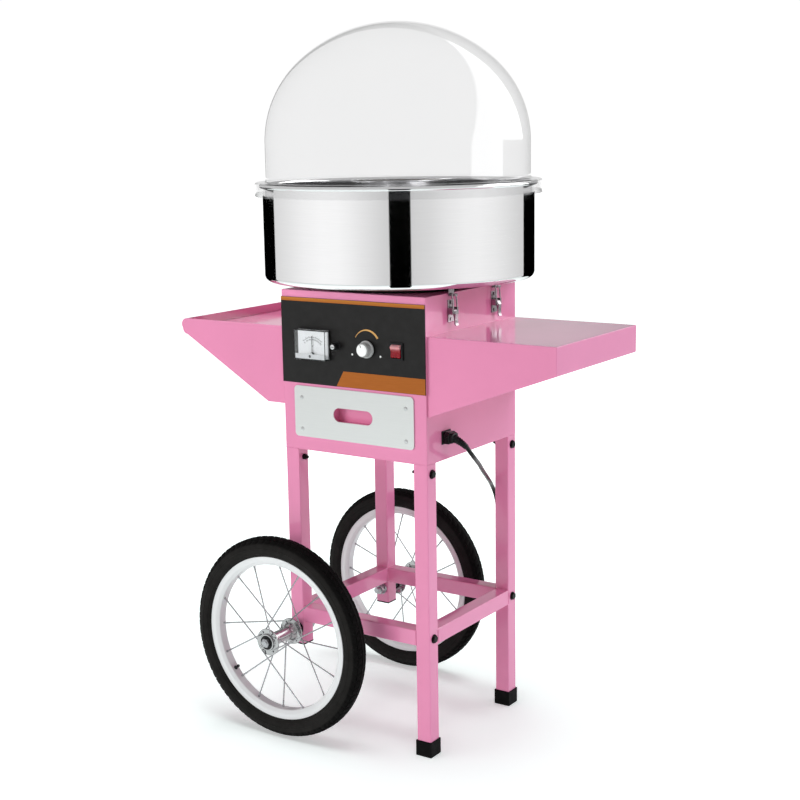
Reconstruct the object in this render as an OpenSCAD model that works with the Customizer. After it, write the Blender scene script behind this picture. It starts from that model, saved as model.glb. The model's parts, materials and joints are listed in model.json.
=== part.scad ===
// Cotton candy cart: a sheet-metal cabinet with a spinning sugar head, a
// stainless bowl and a clear dome, on a tube stand with two spoked wheels.
// Millimetres. +Z up, the control panel faces -Y, the wheels stand at -X.
// The origin is on the floor under the axis of the spinning head.

/* [Cabinet] */
// Width and depth of the cabinet over its walls
body_w = 320; // [318:1:322]
// Height of the cabinet's underside above the floor
body_z = 556; // [540:1:570]
// Height of the cabinet
body_h = 302; // [300:1:306]
// Sheet thickness of the cabinet walls
sheet = 1.5; // [1.2:0.1:1.5]

/* [Stand] */
// Outside width of the square tube
tube = 30; // [28:1:30]
// Wall thickness of the square tube
tube_wall = 1.5; // [1.2:0.1:1.6]
// Underside of the lower rails above the floor
rail_z = 213; // [212:1:240]
// Lower end of the two legs at the wheels
short_leg_z = 168; // [160:1:175]

/* [Wheels] */
// Outside diameter of the tyre
tyre_d = 394; // [390:1:396]
// Width of the tyre
tyre_w = 43; // [40:1:44]
// Distance of the wheel's middle plane from the cart's middle
wheel_y = 215.6; // [214:0.2:220]
// Number of spokes in each wheel
spokes = 16; // [16:4:24]

/* [Bowl and dome] */
// Diameter over the bowl's rolled rim
bowl_d = 520; // [500:1:522]
// Height of the bowl
bowl_h = 179; // [160:1:180]
// Diameter of the dome
dome_d = 494; // [480:1:498]
// Height of the dome above the bowl's rim
dome_h = 290; // [280:1:300]
// Height of the dome's straight wall
dome_wall = 72; // [60:1:76]

/* [Trays] */
// Reach of each tray from the cart's middle
tray_reach = 416.5; // [400:0.5:430]
// Depth of the trays from front to back
tray_d = 312; // [300:2:316]
// Height of the trays' top edge below the cabinet's top
tray_drop = 70; // [66:1:80]

/* [Hidden] */
$fn = 96;

pink = [0.93, 0.56, 0.73];
steel = [0.82, 0.83, 0.85];
black = [0.07, 0.07, 0.08];

bw = body_w / 2;
btop = body_z + body_h;
ti = tube - 2 * tube_wall;
leg_c = bw - tube / 2;
axle_x = leg_c;
bowl_gap = 15;
axle_z = tyre_d / 2;
floor_t = 2;
shell_z = body_z + floor_t;
bolt_hi = body_z - 18;
bolt_lo = rail_z + tube / 2;
foot_z = 5;
panel_t = 2;
panel_z0 = btop - 174;
panel_z1 = btop - 13;
front_y = -bw - panel_t;

// Control positions on the panel
meter = [-84, btop - 98.5];
meter_w = 72;
meter_h = 56;
needle_z = btop - 116;
fuse = [-32, btop - 98.5];
knob = [36, btop - 99.5];
sw = [100, btop - 99];
rock_y = -bw - 1;

// Drawer
drw_z = body_z + 74.5;
drw_half = 122;
drw_low = body_z + 38;
drw_high = body_z + 112;
drw_back = 100;

// Power inlet on the right wall
inlet_y = -97;
inlet_z = body_z + 42;

// Bowl and dome
bowl_z = btop + bowl_gap;
bowl_r = bowl_d / 2 - 6;
rim_z = bowl_z + bowl_h - 4;
dome_z = rim_z + 4.3;
dome_r = dome_d / 2;
dome_k = 200;
skirt_r = bowl_d / 2 + 7.5;

// Latches: lever pivot, bail pivot on the lever, hook bar
la = [168, btop - 32];
lb = [171.5, btop - 37];
lh = [168, btop - 2];
latch_y = 77;

// Trays
tray_z = btop - tray_drop;
tray_t = 1.4;

// Wheel section
rim_r = 159;
tyre_c = (tyre_d - tyre_w) / 2;

// Free run of the mains lead, from the strain relief to the hank
cord_d = 8;
cord_route = [[198, -90, 584], [208, -78, 569], [208, -55, 551], [196, -25, 533], [178, 5, 515],
  [158, 45, 493], [140, 88, 468], [124, 130, 440], [112, 165, 405], [104, 190, 360],
  [99, 206, 300], [96, 214, 230], [95, 216, 160]];
hank_at = [114.2, 198.8];
hank_turn = 120;
hank_run = 120;
hank_r = 24;
plug_at = [130, 180];

// ---------- helpers ----------
module box3(a, b) translate(a) cube([b[0] - a[0], b[1] - a[1], b[2] - a[2]]);
module rod_x(x0, x1, y, z, r, fn = 48) translate([x0, y, z]) rotate([0, 90, 0]) cylinder(r = r, h = x1 - x0, $fn = fn);
module rod_y(x, y0, y1, z, r, fn = 48) translate([x, y0, z]) rotate([-90, 0, 0]) cylinder(r = r, h = y1 - y0, $fn = fn);
module side(sx) if (sx < 0) mirror([1, 0, 0]) children(); else children();
// extrude an X-Z outline along Y, from y0 to y1
module slab_y(y0, y1) translate([0, y1, 0]) rotate([90, 0, 0]) linear_extrude(y1 - y0) children();

// ---------- stand ----------
module side_frame(sx, z0) {
  xc = sx * leg_c;
  difference() {
    union() {
      for (sy = [-1, 1]) translate([xc - tube / 2, sy * leg_c - tube / 2, z0]) cube([tube, tube, body_z - z0]);
      translate([xc - tube / 2, -leg_c + tube / 2, rail_z]) cube([tube, 2 * leg_c - tube, tube]);
    }
    for (sy = [-1, 1]) translate([xc - ti / 2, sy * leg_c - ti / 2, z0 - 1]) cube([ti, ti, body_z - z0 + 2]);
    translate([xc - ti / 2, -leg_c + tube / 2, rail_z + tube_wall]) cube([ti, 2 * leg_c - tube, ti]);
    translate([xc, 0, rail_z - 1]) cylinder(r = 3, h = 6, $fn = 32);
    for (sy = [-1, 1], z = [bolt_hi, bolt_lo])
      rod_x(xc - tube, xc + tube, sy * leg_c, z, 3.2);
    if (sx < 0) for (sy = [-1, 1]) rod_y(-axle_x, sy * leg_c - tube, sy * leg_c + tube, axle_z, 6.2);
  }
}
module left_side_frame() color(pink) side_frame(-1, short_leg_z);
module right_side_frame() color(pink) side_frame(1, foot_z);

module cross_rails() color(pink) {
  l = leg_c - tube / 2;
  for (sy = [-1, 1]) difference() {
    translate([-l, sy * leg_c - tube / 2, rail_z]) cube([2 * l, tube, tube]);
    translate([-l + 12, sy * leg_c - ti / 2, rail_z + tube_wall]) cube([2 * l - 24, ti, ti]);
    for (sx = [-1, 1]) rod_x(min(sx * (l - 13), sx * (l + 1)), max(sx * (l - 13), sx * (l + 1)), sy * leg_c, bolt_lo, 3.05);
  }
}

module leg_caps() color(black) {
  for (sy = [-1, 1]) translate([leg_c, sy * leg_c, 0]) difference() {
    translate([-tube / 2 - 2, -tube / 2 - 2, 0]) cube([tube + 4, tube + 4, 30]);
    translate([-tube / 2, -tube / 2, foot_z]) cube([tube, tube, 30]);
  }
  for (sy = [-1, 1]) translate([-leg_c, sy * leg_c, short_leg_z - 3]) {
    translate([-tube / 2, -tube / 2, 0]) cube([tube, tube, 3]);
    translate([-ti / 2 + 0.2, -ti / 2 + 0.2, 3]) cube([ti - 0.4, ti - 0.4, 12]);
  }
}

module frame_bolts() color(black)
  for (sx = [-1, 1]) side(sx) for (sy = [-1, 1]) {
    rod_x(bw, bw + 5, sy * leg_c, bolt_hi, 7.5, 6);
    rod_x(leg_c - tube / 2 - 11, bw + 1, sy * leg_c, bolt_hi, 3);
    rod_x(leg_c - tube / 2 - 6, leg_c - tube / 2, sy * leg_c, bolt_hi, 6, 6);
    rod_x(bw, bw + 5, sy * leg_c, bolt_lo, 7.5, 6);
    rod_x(leg_c - tube / 2 - 12, bw + 1, sy * leg_c, bolt_lo, 3);
  }

module axle_half() {
  yo = -wheel_y;
  rod_y(-axle_x, yo - 48, -leg_c + tube / 2 + 22, axle_z, 6);
  rod_y(-axle_x, yo - 46.5, yo - 38.6, axle_z, 9.4, 6);
  rod_y(-axle_x, yo + 41.4, -bw, axle_z, 10);
  rod_y(-axle_x, -leg_c + tube / 2, -leg_c + tube / 2 + 5, axle_z, 12);
  rod_y(-axle_x, -leg_c + tube / 2 + 5, -leg_c + tube / 2 + 14, axle_z, 10.5, 6);
}
module axles() color(steel) { axle_half(); mirror([0, 1, 0]) axle_half(); }

// ---------- wheels, made about the Z axis and turned onto the axle ----------
module wheel_at(s) translate([-axle_x, s * wheel_y, axle_z]) rotate([s < 0 ? 90 : -90, 0, 0]) children();
module tyre() rotate_extrude($fn = 160) difference() {
  translate([tyre_c, 0]) circle(r = tyre_w / 2, $fn = 64);
  translate([tyre_c, 0]) circle(r = tyre_w / 2 - 4, $fn = 64);
  translate([0, -tyre_w]) square([rim_r, 2 * tyre_w]);
}
module rim() {
  rotate_extrude($fn = 160) polygon([[143, -9], [143, 9], [150, 13], [rim_r - 0.1, 14], [rim_r - 0.1, 12], [151, 11],
    [146, 8], [146, -8], [151, -11], [rim_r - 0.1, -12], [rim_r - 0.1, -14], [150, -13]]);
  rotate([0, 0, -150]) translate([120, 0, 0]) rotate([0, 90, 0]) cylinder(r = 3, h = 24, $fn = 24);
}
// spokes cross in pairs: each is hooked through a flange hole, by turns from outside and inside
cross_a = 900 / spokes;
function hole_a(s, j) = 720 / spokes * j + (s > 0 ? 360 / spokes : 0) + (j % 2 == 0 ? -cross_a : cross_a);
module spoke_set() for (s = [-1, 1], j = [0 : spokes / 2 - 1]) {
  a = 720 / spokes * j + (s > 0 ? 360 / spokes : 0);
  b = hole_a(s, j);
  outside = j % 2 == 0;
  h = outside ? 41 : 32.7;
  p = [20.5 * cos(b), 20.5 * sin(b), s * h];
  q = [142.6 * cos(a), 142.6 * sin(a), s * 3.5];
  v = q - p;
  union() {
    translate(p) rotate([0, acos(v[2] / norm(v)), atan2(v[1], v[0])]) cylinder(r = 1, h = norm(v), $fn = 16);
    translate([p[0], p[1], 0]) mirror([0, 0, s > 0 ? 0 : 1]) {
      translate([0, 0, outside ? 32.6 : 32.7]) cylinder(r = 1, h = outside ? 8.4 : 5.6, $fn = 16);
      translate([0, 0, outside ? 32.4 : 37.4]) cylinder(r = 2.2, h = 1.2, $fn = 20);
    }
  }
}
module hub() difference() {
  rotate_extrude($fn = 96) polygon([[6.05, -38], [13.5, -38], [13.5, -41], [16, -41], [16.5, -37], [26, -37], [26, -34], [17, -34],
    [12.5, -24], [12.5, 24], [17, 34], [26, 34], [26, 37], [16.5, 37], [16, 41], [13.5, 41], [13.5, 38], [6.05, 38]]);
  for (s = [-1, 1], j = [0 : spokes / 2 - 1]) rotate([0, 0, hole_a(s, j)]) translate([20.5, 0, s > 0 ? 33 : -38]) cylinder(r = 1.35, h = 5, $fn = 20);
}
module tyre_front() color(black) wheel_at(-1) tyre();
module rim_front() color("white") wheel_at(-1) rim();
module spokes_front() color(steel) wheel_at(-1) spoke_set();
module hub_front() color(steel) wheel_at(-1) hub();
module tyre_back() color(black) wheel_at(1) tyre();
module rim_back() color("white") wheel_at(1) rim();
module spokes_back() color(steel) wheel_at(1) spoke_set();
module hub_back() color(steel) wheel_at(1) hub();

// ---------- trays ----------
// right tray: a flat-topped box of folded sheet, open below
module tray_right() color(pink) {
  t = tray_t;
  h = tray_d / 2;
  difference() {
    slab_y(-h, h) polygon([[bw, tray_z], [tray_reach, tray_z], [tray_reach, tray_z - 50], [bw, tray_z - 145]]);
    slab_y(-h + t, h - t) polygon([[bw + t, tray_z - t], [tray_reach - t, tray_z - t], [tray_reach - t, tray_z - 60], [bw + t, tray_z - 160]]);
    for (sy = [-1, 1], dz = [20, 100]) rod_x(bw - 1, bw + t + 1, sy * 110, tray_z - dz, 2.6);
  }
}
// left tray: a shallow open tray with a rounded outer edge, open below
module left_outline(e) {
  r = 12 - e;
  union() {
    polygon([[-bw - e, tray_z - e], [-tray_reach + 12, tray_z - e], [-tray_reach + e, tray_z - 12], [-tray_reach + 5 + e * 1.2, tray_z - 26],
      [-bw - 43, tray_z - 148 + e * 1.2], [-bw - e, tray_z - 148 + e * 1.2]]);
    translate([-tray_reach + 12, tray_z - 12]) circle(r = r, $fn = 48);
    translate([-tray_reach + 13.6, tray_z - 20]) circle(r = r - 1, $fn = 48);
  }
}
module tray_left() color(pink) {
  t = tray_t;
  h = tray_d / 2;
  f = 17;
  difference() {
    slab_y(-h, h) left_outline(0);
    // the recess above the floor
    box3([-tray_reach + 14, -h + t, tray_z - f], [-bw - t, h - t, tray_z + 1]);
    // the space below the floor
    box3([-tray_reach + 14, -h + t, tray_z - 200], [-bw - t, h - t, tray_z - f - t]);
    for (sy = [-1, 1], dz = [30, 100]) rod_x(-bw - t - 1, -bw + 1, sy * 110, tray_z - dz, 2.6);
  }
}

// ---------- cabinet ----------
module front_holes(y0, y1) {
  rod_y(meter[0], y0, y1, meter[1], 26.4);
  rod_y(fuse[0], y0, y1, fuse[1], 6.3);
  rod_y(knob[0], y0, y1, knob[1], 5.3);
  box3([sw[0] - 12.2, y0, sw[1] - 14.2], [sw[0] + 12.2, y1, sw[1] + 14.2]);
}
module back_screws() for (sx = [-1, 1], z = [shell_z + 20, shell_z + 150, btop - 26]) translate([sx * (bw - 8), 0, z]) children();
module body_shell() color(pink) {
  difference() {
    box3([-bw, -bw, shell_z], [bw, bw, btop]);
    box3([-bw + sheet, -bw + sheet, shell_z - 1], [bw - sheet, bw + 1, btop - sheet]);
    translate([0, 0, btop - 5]) cylinder(r = 40, h = 10);
    front_holes(-bw - 1, -bw + sheet + 1);
    box3([-126, -bw - 1, body_z + 34], [126, -bw + sheet + 1, body_z + 116]);
    box3([bw - sheet - 1, inlet_y - 13.2, inlet_z - 10.2], [bw + 1, inlet_y + 13.2, inlet_z + 10.2]);
    for (sy = [-1, 1]) {
      for (dz = [20, 100]) rod_x(bw - 4, bw + 4, sy * 110, tray_z - dz, 2.6);
      for (dz = [30, 100]) rod_x(-bw - 4, -bw + 4, sy * 110, tray_z - dz, 2.6);
    }
  }
  // return flanges that carry the back panel
  for (sx = [-1, 1]) side(sx) difference() {
    box3([bw - 14, bw - 3.4, shell_z], [bw - sheet, bw - 1.8, btop - sheet]);
    for (z = [shell_z + 20, shell_z + 150, btop - 26]) rod_y(bw - 8, bw - 5, bw + 1, z, 1.8);
  }
}
module bottom_plate() color(pink) {
  box3([-bw, -bw, body_z], [bw, bw, body_z + floor_t]);
  s = ti - 0.6;
  for (sx = [-1, 1], sy = [-1, 1]) translate([sx * leg_c, sy * leg_c, 0]) difference() {
    box3([-s / 2, -s / 2, body_z - 56], [s / 2, s / 2, body_z + 0.5]);
    box3([-s / 2 + 2, -s / 2 + 2, body_z - 57], [s / 2 - 2, s / 2 - 2, body_z - 0.01]);
    rod_x(-tube, tube, 0, bolt_hi, 3.2);
  }
}
module back_panel() color(pink) difference() {
  box3([-bw + sheet + 0.2, bw - 1.8, shell_z + 0.2], [bw - sheet - 0.2, bw - 0.3, btop - sheet - 0.2]);
  back_screws() rod_y(0, bw - 3, bw + 1, 0, 1.8);
  for (sx = [-1, 1], k = [0 : 6]) box3([sx * 62 - 36, bw - 3, btop - 130 + 12 * k], [sx * 62 + 36, bw + 1, btop - 125.5 + 12 * k]);
}
module panel_screws() color(steel) {
  back_screws() {
    rod_y(0, bw - 0.3, bw + 1.6, 0, 4);
    rod_y(0, bw - 8, bw, 0, 1.7, 24);
  }
  for (sy = [-1, 1]) {
    for (dz = [20, 100]) {
      rod_x(bw - sheet - 3, bw - sheet, sy * 110, tray_z - dz, 5);
      rod_x(bw - sheet - 1, bw + 8, sy * 110, tray_z - dz, 2.5);
      rod_x(bw + tray_t, bw + tray_t + 4, sy * 110, tray_z - dz, 4.6, 6);
    }
    side(-1) for (dz = [30, 100]) {
      rod_x(bw - sheet - 3, bw - sheet, sy * 110, tray_z - dz, 5);
      rod_x(bw - sheet - 1, bw + 8, sy * 110, tray_z - dz, 2.5);
      rod_x(bw + tray_t, bw + tray_t + 4, sy * 110, tray_z - dz, 4.6, 6);
    }
  }
}
module control_panel() color(black) difference() {
  box3([-bw, front_y, panel_z0], [bw, -bw, panel_z1]);
  front_holes(front_y - 1, -bw + 1);
}

// ---------- controls ----------
module voltmeter_case() color(black) {
  box3([meter[0] - meter_w / 2, front_y - 4, meter[1] - meter_h / 2], [meter[0] + meter_w / 2, front_y, meter[1] + meter_h / 2]);
  rod_y(meter[0], front_y - 1, front_y + 36, meter[1], 26, 96);
}
module voltmeter_dial() color("white")
  box3([meter[0] - 33, front_y - 5, meter[1] - 13], [meter[0] + 33, front_y - 4, meter[1] + 25]);
module voltmeter_lens() color([0.8, 0.85, 0.9, 0.4]) difference() {
  box3([meter[0] - meter_w / 2, front_y - 16, meter[1] - meter_h / 2], [meter[0] + meter_w / 2, front_y - 4, meter[1] + meter_h / 2]);
  box3([meter[0] - meter_w / 2 + 1.8, front_y - 14.4, meter[1] - meter_h / 2 + 1.8], [meter[0] + meter_w / 2 - 1.8, front_y - 3, meter[1] + meter_h / 2 - 1.8]);
}
module voltmeter_needle() color("black") {
  rod_y(meter[0], front_y - 9, front_y - 5.4, needle_z, 3.2);
  box3([meter[0] - 0.5, front_y - 7.6, needle_z - 7], [meter[0] + 0.5, front_y - 6.8, needle_z + 33]);
  box3([meter[0] - 1.6, front_y - 7.6, needle_z - 8], [meter[0] + 1.6, front_y - 6.8, needle_z - 4]);
}
module fuse_holder() color(black) difference() {
  union() {
    rod_y(fuse[0], front_y - 2.5, front_y, fuse[1], 8.5);
    rod_y(fuse[0], front_y - 1, front_y + 38, fuse[1], 6);
  }
  rod_y(fuse[0], front_y - 3, front_y + 34, fuse[1], 4);
}
module fuse_cap() color(black) {
  difference() {
    rod_y(fuse[0], front_y - 15, front_y - 2.8, fuse[1], 6.6);
    box3([fuse[0] - 8, front_y - 16, fuse[1] - 0.6], [fuse[0] + 8, front_y - 13.6, fuse[1] + 0.6]);
  }
  rod_y(fuse[0], front_y - 3, front_y + 30, fuse[1], 3.95);
}
module regulator() color([0.3, 0.3, 0.32]) difference() {
  union() {
    rod_y(knob[0], -bw + sheet, -bw + sheet + 24, knob[1], 17);
    rod_y(knob[0], front_y - 2, -bw + sheet + 1, knob[1], 5);
    rod_y(knob[0], front_y - 2, front_y, knob[1], 8, 6);
  }
  rod_y(knob[0], front_y - 4, -bw + sheet + 20, knob[1], 3.05);
}
module temperature_knob() color([0.85, 0.85, 0.84]) {
  rod_y(knob[0], front_y - 12, -bw + sheet + 18, knob[1], 3);
  translate([knob[0], front_y - 2.6, knob[1]]) rotate([90, 0, 0]) rotate_extrude($fn = 96)
    polygon([[0, 0], [16, 0], [16, 3], [13.2, 4.4], [12.4, 15], [11.4, 16.4], [0, 16.4]]);
}
module switch_housing() color(black) difference() {
  union() {
    box3([sw[0] - 14, front_y - 3, sw[1] - 15.5], [sw[0] + 14, front_y, sw[1] + 15.5]);
    box3([sw[0] - 12, front_y - 1, sw[1] - 14], [sw[0] + 12, front_y + 30, sw[1] + 14]);
  }
  rod_x(sw[0] - 10.4, sw[0] + 10.4, rock_y, sw[1], 12.8, 64);
  box3([sw[0] - 10.4, front_y - 5, sw[1] - 12.8], [sw[0] + 10.4, rock_y, sw[1] + 12.8]);
  rod_x(sw[0] - 11.5, sw[0] + 11.5, rock_y, sw[1], 1.55, 32);
}
module switch_rocker() color("red") {
  translate([sw[0] - 10, rock_y, sw[1]]) rotate([8, 0, 0]) rotate([0, 90, 0]) rotate([0, 0, 180]) linear_extrude(20)
    intersection() {
      circle(r = 12.2, $fn = 64);
      polygon([[-13, -3], [13, -3], [13, 8.6], [0, 5.4], [-13, 8.6]]);
    }
  rod_x(sw[0] - 11.3, sw[0] + 11.3, rock_y, sw[1], 1.5, 32);
}

// ---------- drawer ----------
module drawer_runners() color([0.7, 0.7, 0.72]) for (sx = [-1, 1]) side(sx) {
  box3([drw_half + 0.6, -bw + 4, shell_z], [drw_half + 2.4, 140, drw_low + 36]);
  box3([112, -bw + 4, drw_low - 3.5], [drw_half + 1, 140, drw_low - 0.5]);
}
module finger_slot(y0, y1) {
  rod_y(-31, y0, y1, drw_z, 13, 64);
  rod_y(31, y0, y1, drw_z, 13, 64);
  box3([-31, y0, drw_z - 13], [31, y1, drw_z + 13]);
}
module rivet_places() for (sx = [-1, 1], dz = [-34, 26]) translate([sx * 117, 0, drw_z + dz]) children();
module drawer_box() color(pink) difference() {
  union() {
    difference() {
      box3([-drw_half, -bw - 0.3, drw_low], [drw_half, drw_back, drw_high]);
      box3([-drw_half + 1.2, -bw + 0.9, drw_low + 1.2], [drw_half - 1.2, drw_back - 1.2, drw_high + 1]);
    }
    // closed finger cup behind the slot
    box3([-47.4, -bw - 0.3, drw_z - 16.4], [47.4, -bw + 20, drw_z + 16.4]);
  }
  box3([-46.2, -bw + 0.9, drw_z - 15.2], [46.2, -bw + 18.8, drw_z + 15.2]);
  finger_slot(-bw - 2, -bw + 3);
  rivet_places() rod_y(0, -bw - 2, -bw + 3, 0, 2.1, 32);
}
module drawer_front() color(steel) difference() {
  y0 = -bw - 2.3;
  y1 = -bw - 0.3;
  slab_y(y0, y1) union() {
    translate([-126, drw_z - 48.5]) square([252, 97]);
    translate([-134, drw_z - 40.5]) square([268, 81]);
    for (sx = [-1, 1], sz = [-1, 1]) translate([sx * 126, drw_z + sz * 40.5]) circle(r = 8, $fn = 48);
  }
  finger_slot(y0 - 1, y1 + 1);
  rivet_places() rod_y(0, y0 - 1, y1 + 1, 0, 2.1, 32);
}
module drawer_rivets() color(steel) rivet_places() {
  rod_y(0, -bw - 3.7, -bw - 2.3, 0, 4, 48);
  rod_y(0, -bw - 3, -bw + 1.5, 0, 2, 32);
}

// ---------- mains inlet and lead ----------
module power_inlet() color(black) difference() {
  union() {
    box3([bw, inlet_y - 15, inlet_z - 12.5], [bw + 2, inlet_y + 15, inlet_z + 12.5]);
    box3([bw - 24, inlet_y - 13, inlet_z - 10], [bw + 1, inlet_y + 13, inlet_z + 10]);
  }
  box3([bw - 18, inlet_y - 11.2, inlet_z - 8.2], [bw + 3, inlet_y + 11.2, inlet_z + 8.2]);
}
module cord_connector() color(black) {
  box3([bw - 16, inlet_y - 10.9, inlet_z - 7.9], [bw + 3, inlet_y + 10.9, inlet_z + 7.9]);
  box3([bw + 2.2, inlet_y - 13, inlet_z - 11], [bw + 20, inlet_y + 13, inlet_z + 11]);
  p = [bw + 16, inlet_y, inlet_z];
  v = cord_route[0] - p;
  translate(p) rotate([0, acos(v[2] / norm(v)), atan2(v[1], v[0])]) cylinder(r1 = 8.5, r2 = 5.2, h = norm(v), $fn = 48);
}
// smooth curve through the route's points, and a tube swept along it
function curve(p, n) = concat([for (i = [0 : len(p) - 2], k = [0 : n - 1])
  let (a = p[max(i - 1, 0)], b = p[i], c = p[i + 1], d = p[min(i + 2, len(p) - 1)], t = k / n)
  0.5 * (2 * b + (c - a) * t + (2 * a - 5 * b + 4 * c - d) * t * t + (3 * b - a - 3 * c + d) * t * t * t)], [p[len(p) - 1]]);
module swept(path, r, sides) {
  m = len(path);
  ref = [0.8, 0.6, 0];
  pts = [for (i = [0 : m - 1]) let (t = path[min(i + 1, m - 1)] - path[max(i - 1, 0)], u = t / norm(t),
    a = cross(u, ref), e1 = a / norm(a), e2 = cross(u, e1)) for (k = [0 : sides - 1])
    path[i] + r * cos(360 * k / sides) * e1 + r * sin(360 * k / sides) * e2];
  faces = concat([[for (k = [0 : sides - 1]) k]],
    [for (i = [0 : m - 2], k = [0 : sides - 1]) [i * sides + k, (i + 1) * sides + k, (i + 1) * sides + (k + 1) % sides]],
    [for (i = [0 : m - 2], k = [0 : sides - 1]) [i * sides + k, (i + 1) * sides + (k + 1) % sides, i * sides + (k + 1) % sides]],
    [[for (k = [sides - 1 : -1 : 0]) (m - 1) * sides + k]]);
  polyhedron(points = pts, faces = faces);
}
module power_cord() color(black) swept(curve(cord_route, 3), cord_d / 2, 10);
module cord_hank() color(black) translate([hank_at[0], hank_at[1], 0]) rotate([0, 0, hank_turn]) slab_y(-12.4, 12.4) union() {
  translate([0, 28.5]) circle(r = hank_r + cord_d / 2, $fn = 64);
  translate([0, 28.5 + hank_run]) circle(r = hank_r + cord_d / 2, $fn = 64);
  translate([-hank_r - cord_d / 2, 28.5]) square([2 * hank_r + cord_d, hank_run]);
}
module mains_plug() color(black) translate([plug_at[0], plug_at[1], 0]) rotate([0, 0, hank_turn]) {
  translate([0, 0, 162]) cylinder(r1 = 5.2, r2 = 8, h = 29, $fn = 48);
  translate([0, 0, 190]) linear_extrude(36) polygon([[-11, -9], [-7, -13], [7, -13], [11, -9], [11, 9], [7, 13], [-7, 13], [-11, 9]]);
  for (s = [-1, 1]) translate([-3.1 - 2, s * 6.4 - 0.8, 225]) cube([6.3, 1.6, 18]);
  translate([6, 0, 225]) cylinder(r = 2.4, h = 20, $fn = 32);
}

// ---------- bowl, dome and latches' catches ----------
module bowl() color(steel) rotate_extrude($fn = 192) {
  t = 1.5;
  rc = 11;
  translate([24, bowl_z]) square([bowl_r - rc - 24, t]);
  translate([24, bowl_z]) square([t, 32]);
  translate([bowl_r - rc, bowl_z + rc]) intersection() {
    difference() { circle(r = rc, $fn = 96); circle(r = rc - t, $fn = 96); }
    translate([0, -rc]) square([rc, rc]);
  }
  translate([bowl_r - t, bowl_z + rc]) square([t, rim_z - bowl_z - rc]);
  translate([bowl_r + 2, rim_z]) circle(r = 4, $fn = 48);
}
module bowl_seat() color(black) difference() {
  translate([0, 0, btop]) cylinder(r = 150, h = bowl_gap, $fn = 128);
  translate([0, 0, btop - 1]) cylinder(r = 130, h = bowl_gap + 2, $fn = 128);
}
module catch() {
  box3([bw + 1.5, -9, btop - 5], [bw + 3, 9, bowl_z]);
  box3([bw + 1.5, -9, bowl_z - 1.5], [bw + 20, 9, bowl_z]);
  box3([bw + 1.5, -5, btop - 5], [bw + 12.9, 5, btop - 3.6]);
  box3([bw + 11.4, -5, btop - 5], [bw + 12.9, 5, btop - 1]);
}
module latch_places() for (sx = [-1, 1], sy = [-1, 1]) translate([0, sy * latch_y, 0]) side(sx) children();
module latch_place(sx, sy) translate([0, sy * latch_y, 0]) side(sx) children();
module bowl_catches() color(steel) latch_places() catch();
module dome() color([0.9, 0.95, 1, 0.25]) rotate_extrude($fn = 192) {
  // straight wall, shoulder arc and flatter crown arc that meet smoothly
  t = 2.5;
  k = dome_k;
  h = dome_h - dome_wall;
  c = (pow(dome_r - k, 2) + h * h - k * k) / (2 * (h - k));
  a = atan2(c - h, dome_r - k);
  translate([0, dome_z + dome_h - c]) intersection() {
    difference() { circle(r = c, $fn = 256); circle(r = c - t, $fn = 256); }
    polygon([[0, 0], [2 * c * cos(a), 2 * c * sin(a)], [0, 2 * c]]);
  }
  translate([dome_r - k, dome_z + dome_wall]) intersection() {
    difference() { circle(r = k, $fn = 256); circle(r = k - t, $fn = 256); }
    polygon([[0, 0], [2 * k, 0], [2 * k, 2 * k * tan(a)]]);
  }
  translate([dome_r - t, dome_z]) square([t, dome_wall]);
  translate([dome_r - t, dome_z]) square([skirt_r - dome_r + t, 2.4]);
  translate([skirt_r - 2, dome_z - 23]) square([2, 25.4]);
}

module latch_base() {
  difference() {
    union() {
      box3([bw, -10.7, btop - 52], [bw + 1.5, 10.7, btop - 12]);
      for (s = [-1, 1]) box3([bw + 1, s > 0 ? 9.2 : -10.7, btop - 38], [bw + 11, s > 0 ? 10.7 : -9.2, btop - 26]);
    }
    rod_y(la[0], -12, 12, la[1], 1.3, 32);
  }
  for (z = [btop - 47, btop - 17]) rod_x(bw + 1, bw + 2.7, 0, z, 3, 32);
}
module latch_bases() color(steel) latch_places() latch_base();
module latch_lever() {
  difference() {
    slab_y(-5, 5) union() {
      translate(la) circle(r = 3.4, $fn = 48);
      translate(lb) circle(r = 2.8, $fn = 48);
      translate(la) polygon([[-1.6, -3], [2, 2.75], [6.25, -4.2], [5.2, -14], [5.4, -22], [7.2, -26], [5.2, -26.4], [3.4, -23], [2.6, -14], [0.8, -7]]);
    }
    rod_y(lb[0], -6, 6, lb[1], 1.3, 32);
  }
  rod_y(la[0], -11.2, 11.2, la[1], 1.25, 32);
}
module latch_bail() {
  v = lh - lb;
  for (s = [-1, 1]) {
    translate([lb[0], s * 7, lb[1]]) rotate([0, atan2(v[0], v[1]), 0]) cylinder(r = 1.25, h = norm(v), $fn = 32);
    rod_y(lb[0], s > 0 ? 3.5 : -7, s > 0 ? 7 : -3.5, lb[1], 1.25, 32);
    translate([lb[0], s * 7, lb[1]]) sphere(r = 1.25, $fn = 32);
    translate([lh[0], s * 7, lh[1]]) sphere(r = 1.25, $fn = 32);
  }
  rod_y(lh[0], -7, 7, lh[1], 1.25, 32);
}
module latch_lever_front_right() color(steel) latch_place(1, -1) latch_lever();
module latch_lever_back_right() color(steel) latch_place(1, 1) latch_lever();
module latch_lever_front_left() color(steel) latch_place(-1, -1) latch_lever();
module latch_lever_back_left() color(steel) latch_place(-1, 1) latch_lever();
module latch_bail_front_right() color(steel) latch_place(1, -1) latch_bail();
module latch_bail_back_right() color(steel) latch_place(1, 1) latch_bail();
module latch_bail_front_left() color(steel) latch_place(-1, -1) latch_bail();
module latch_bail_back_left() color(steel) latch_place(-1, 1) latch_bail();

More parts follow.
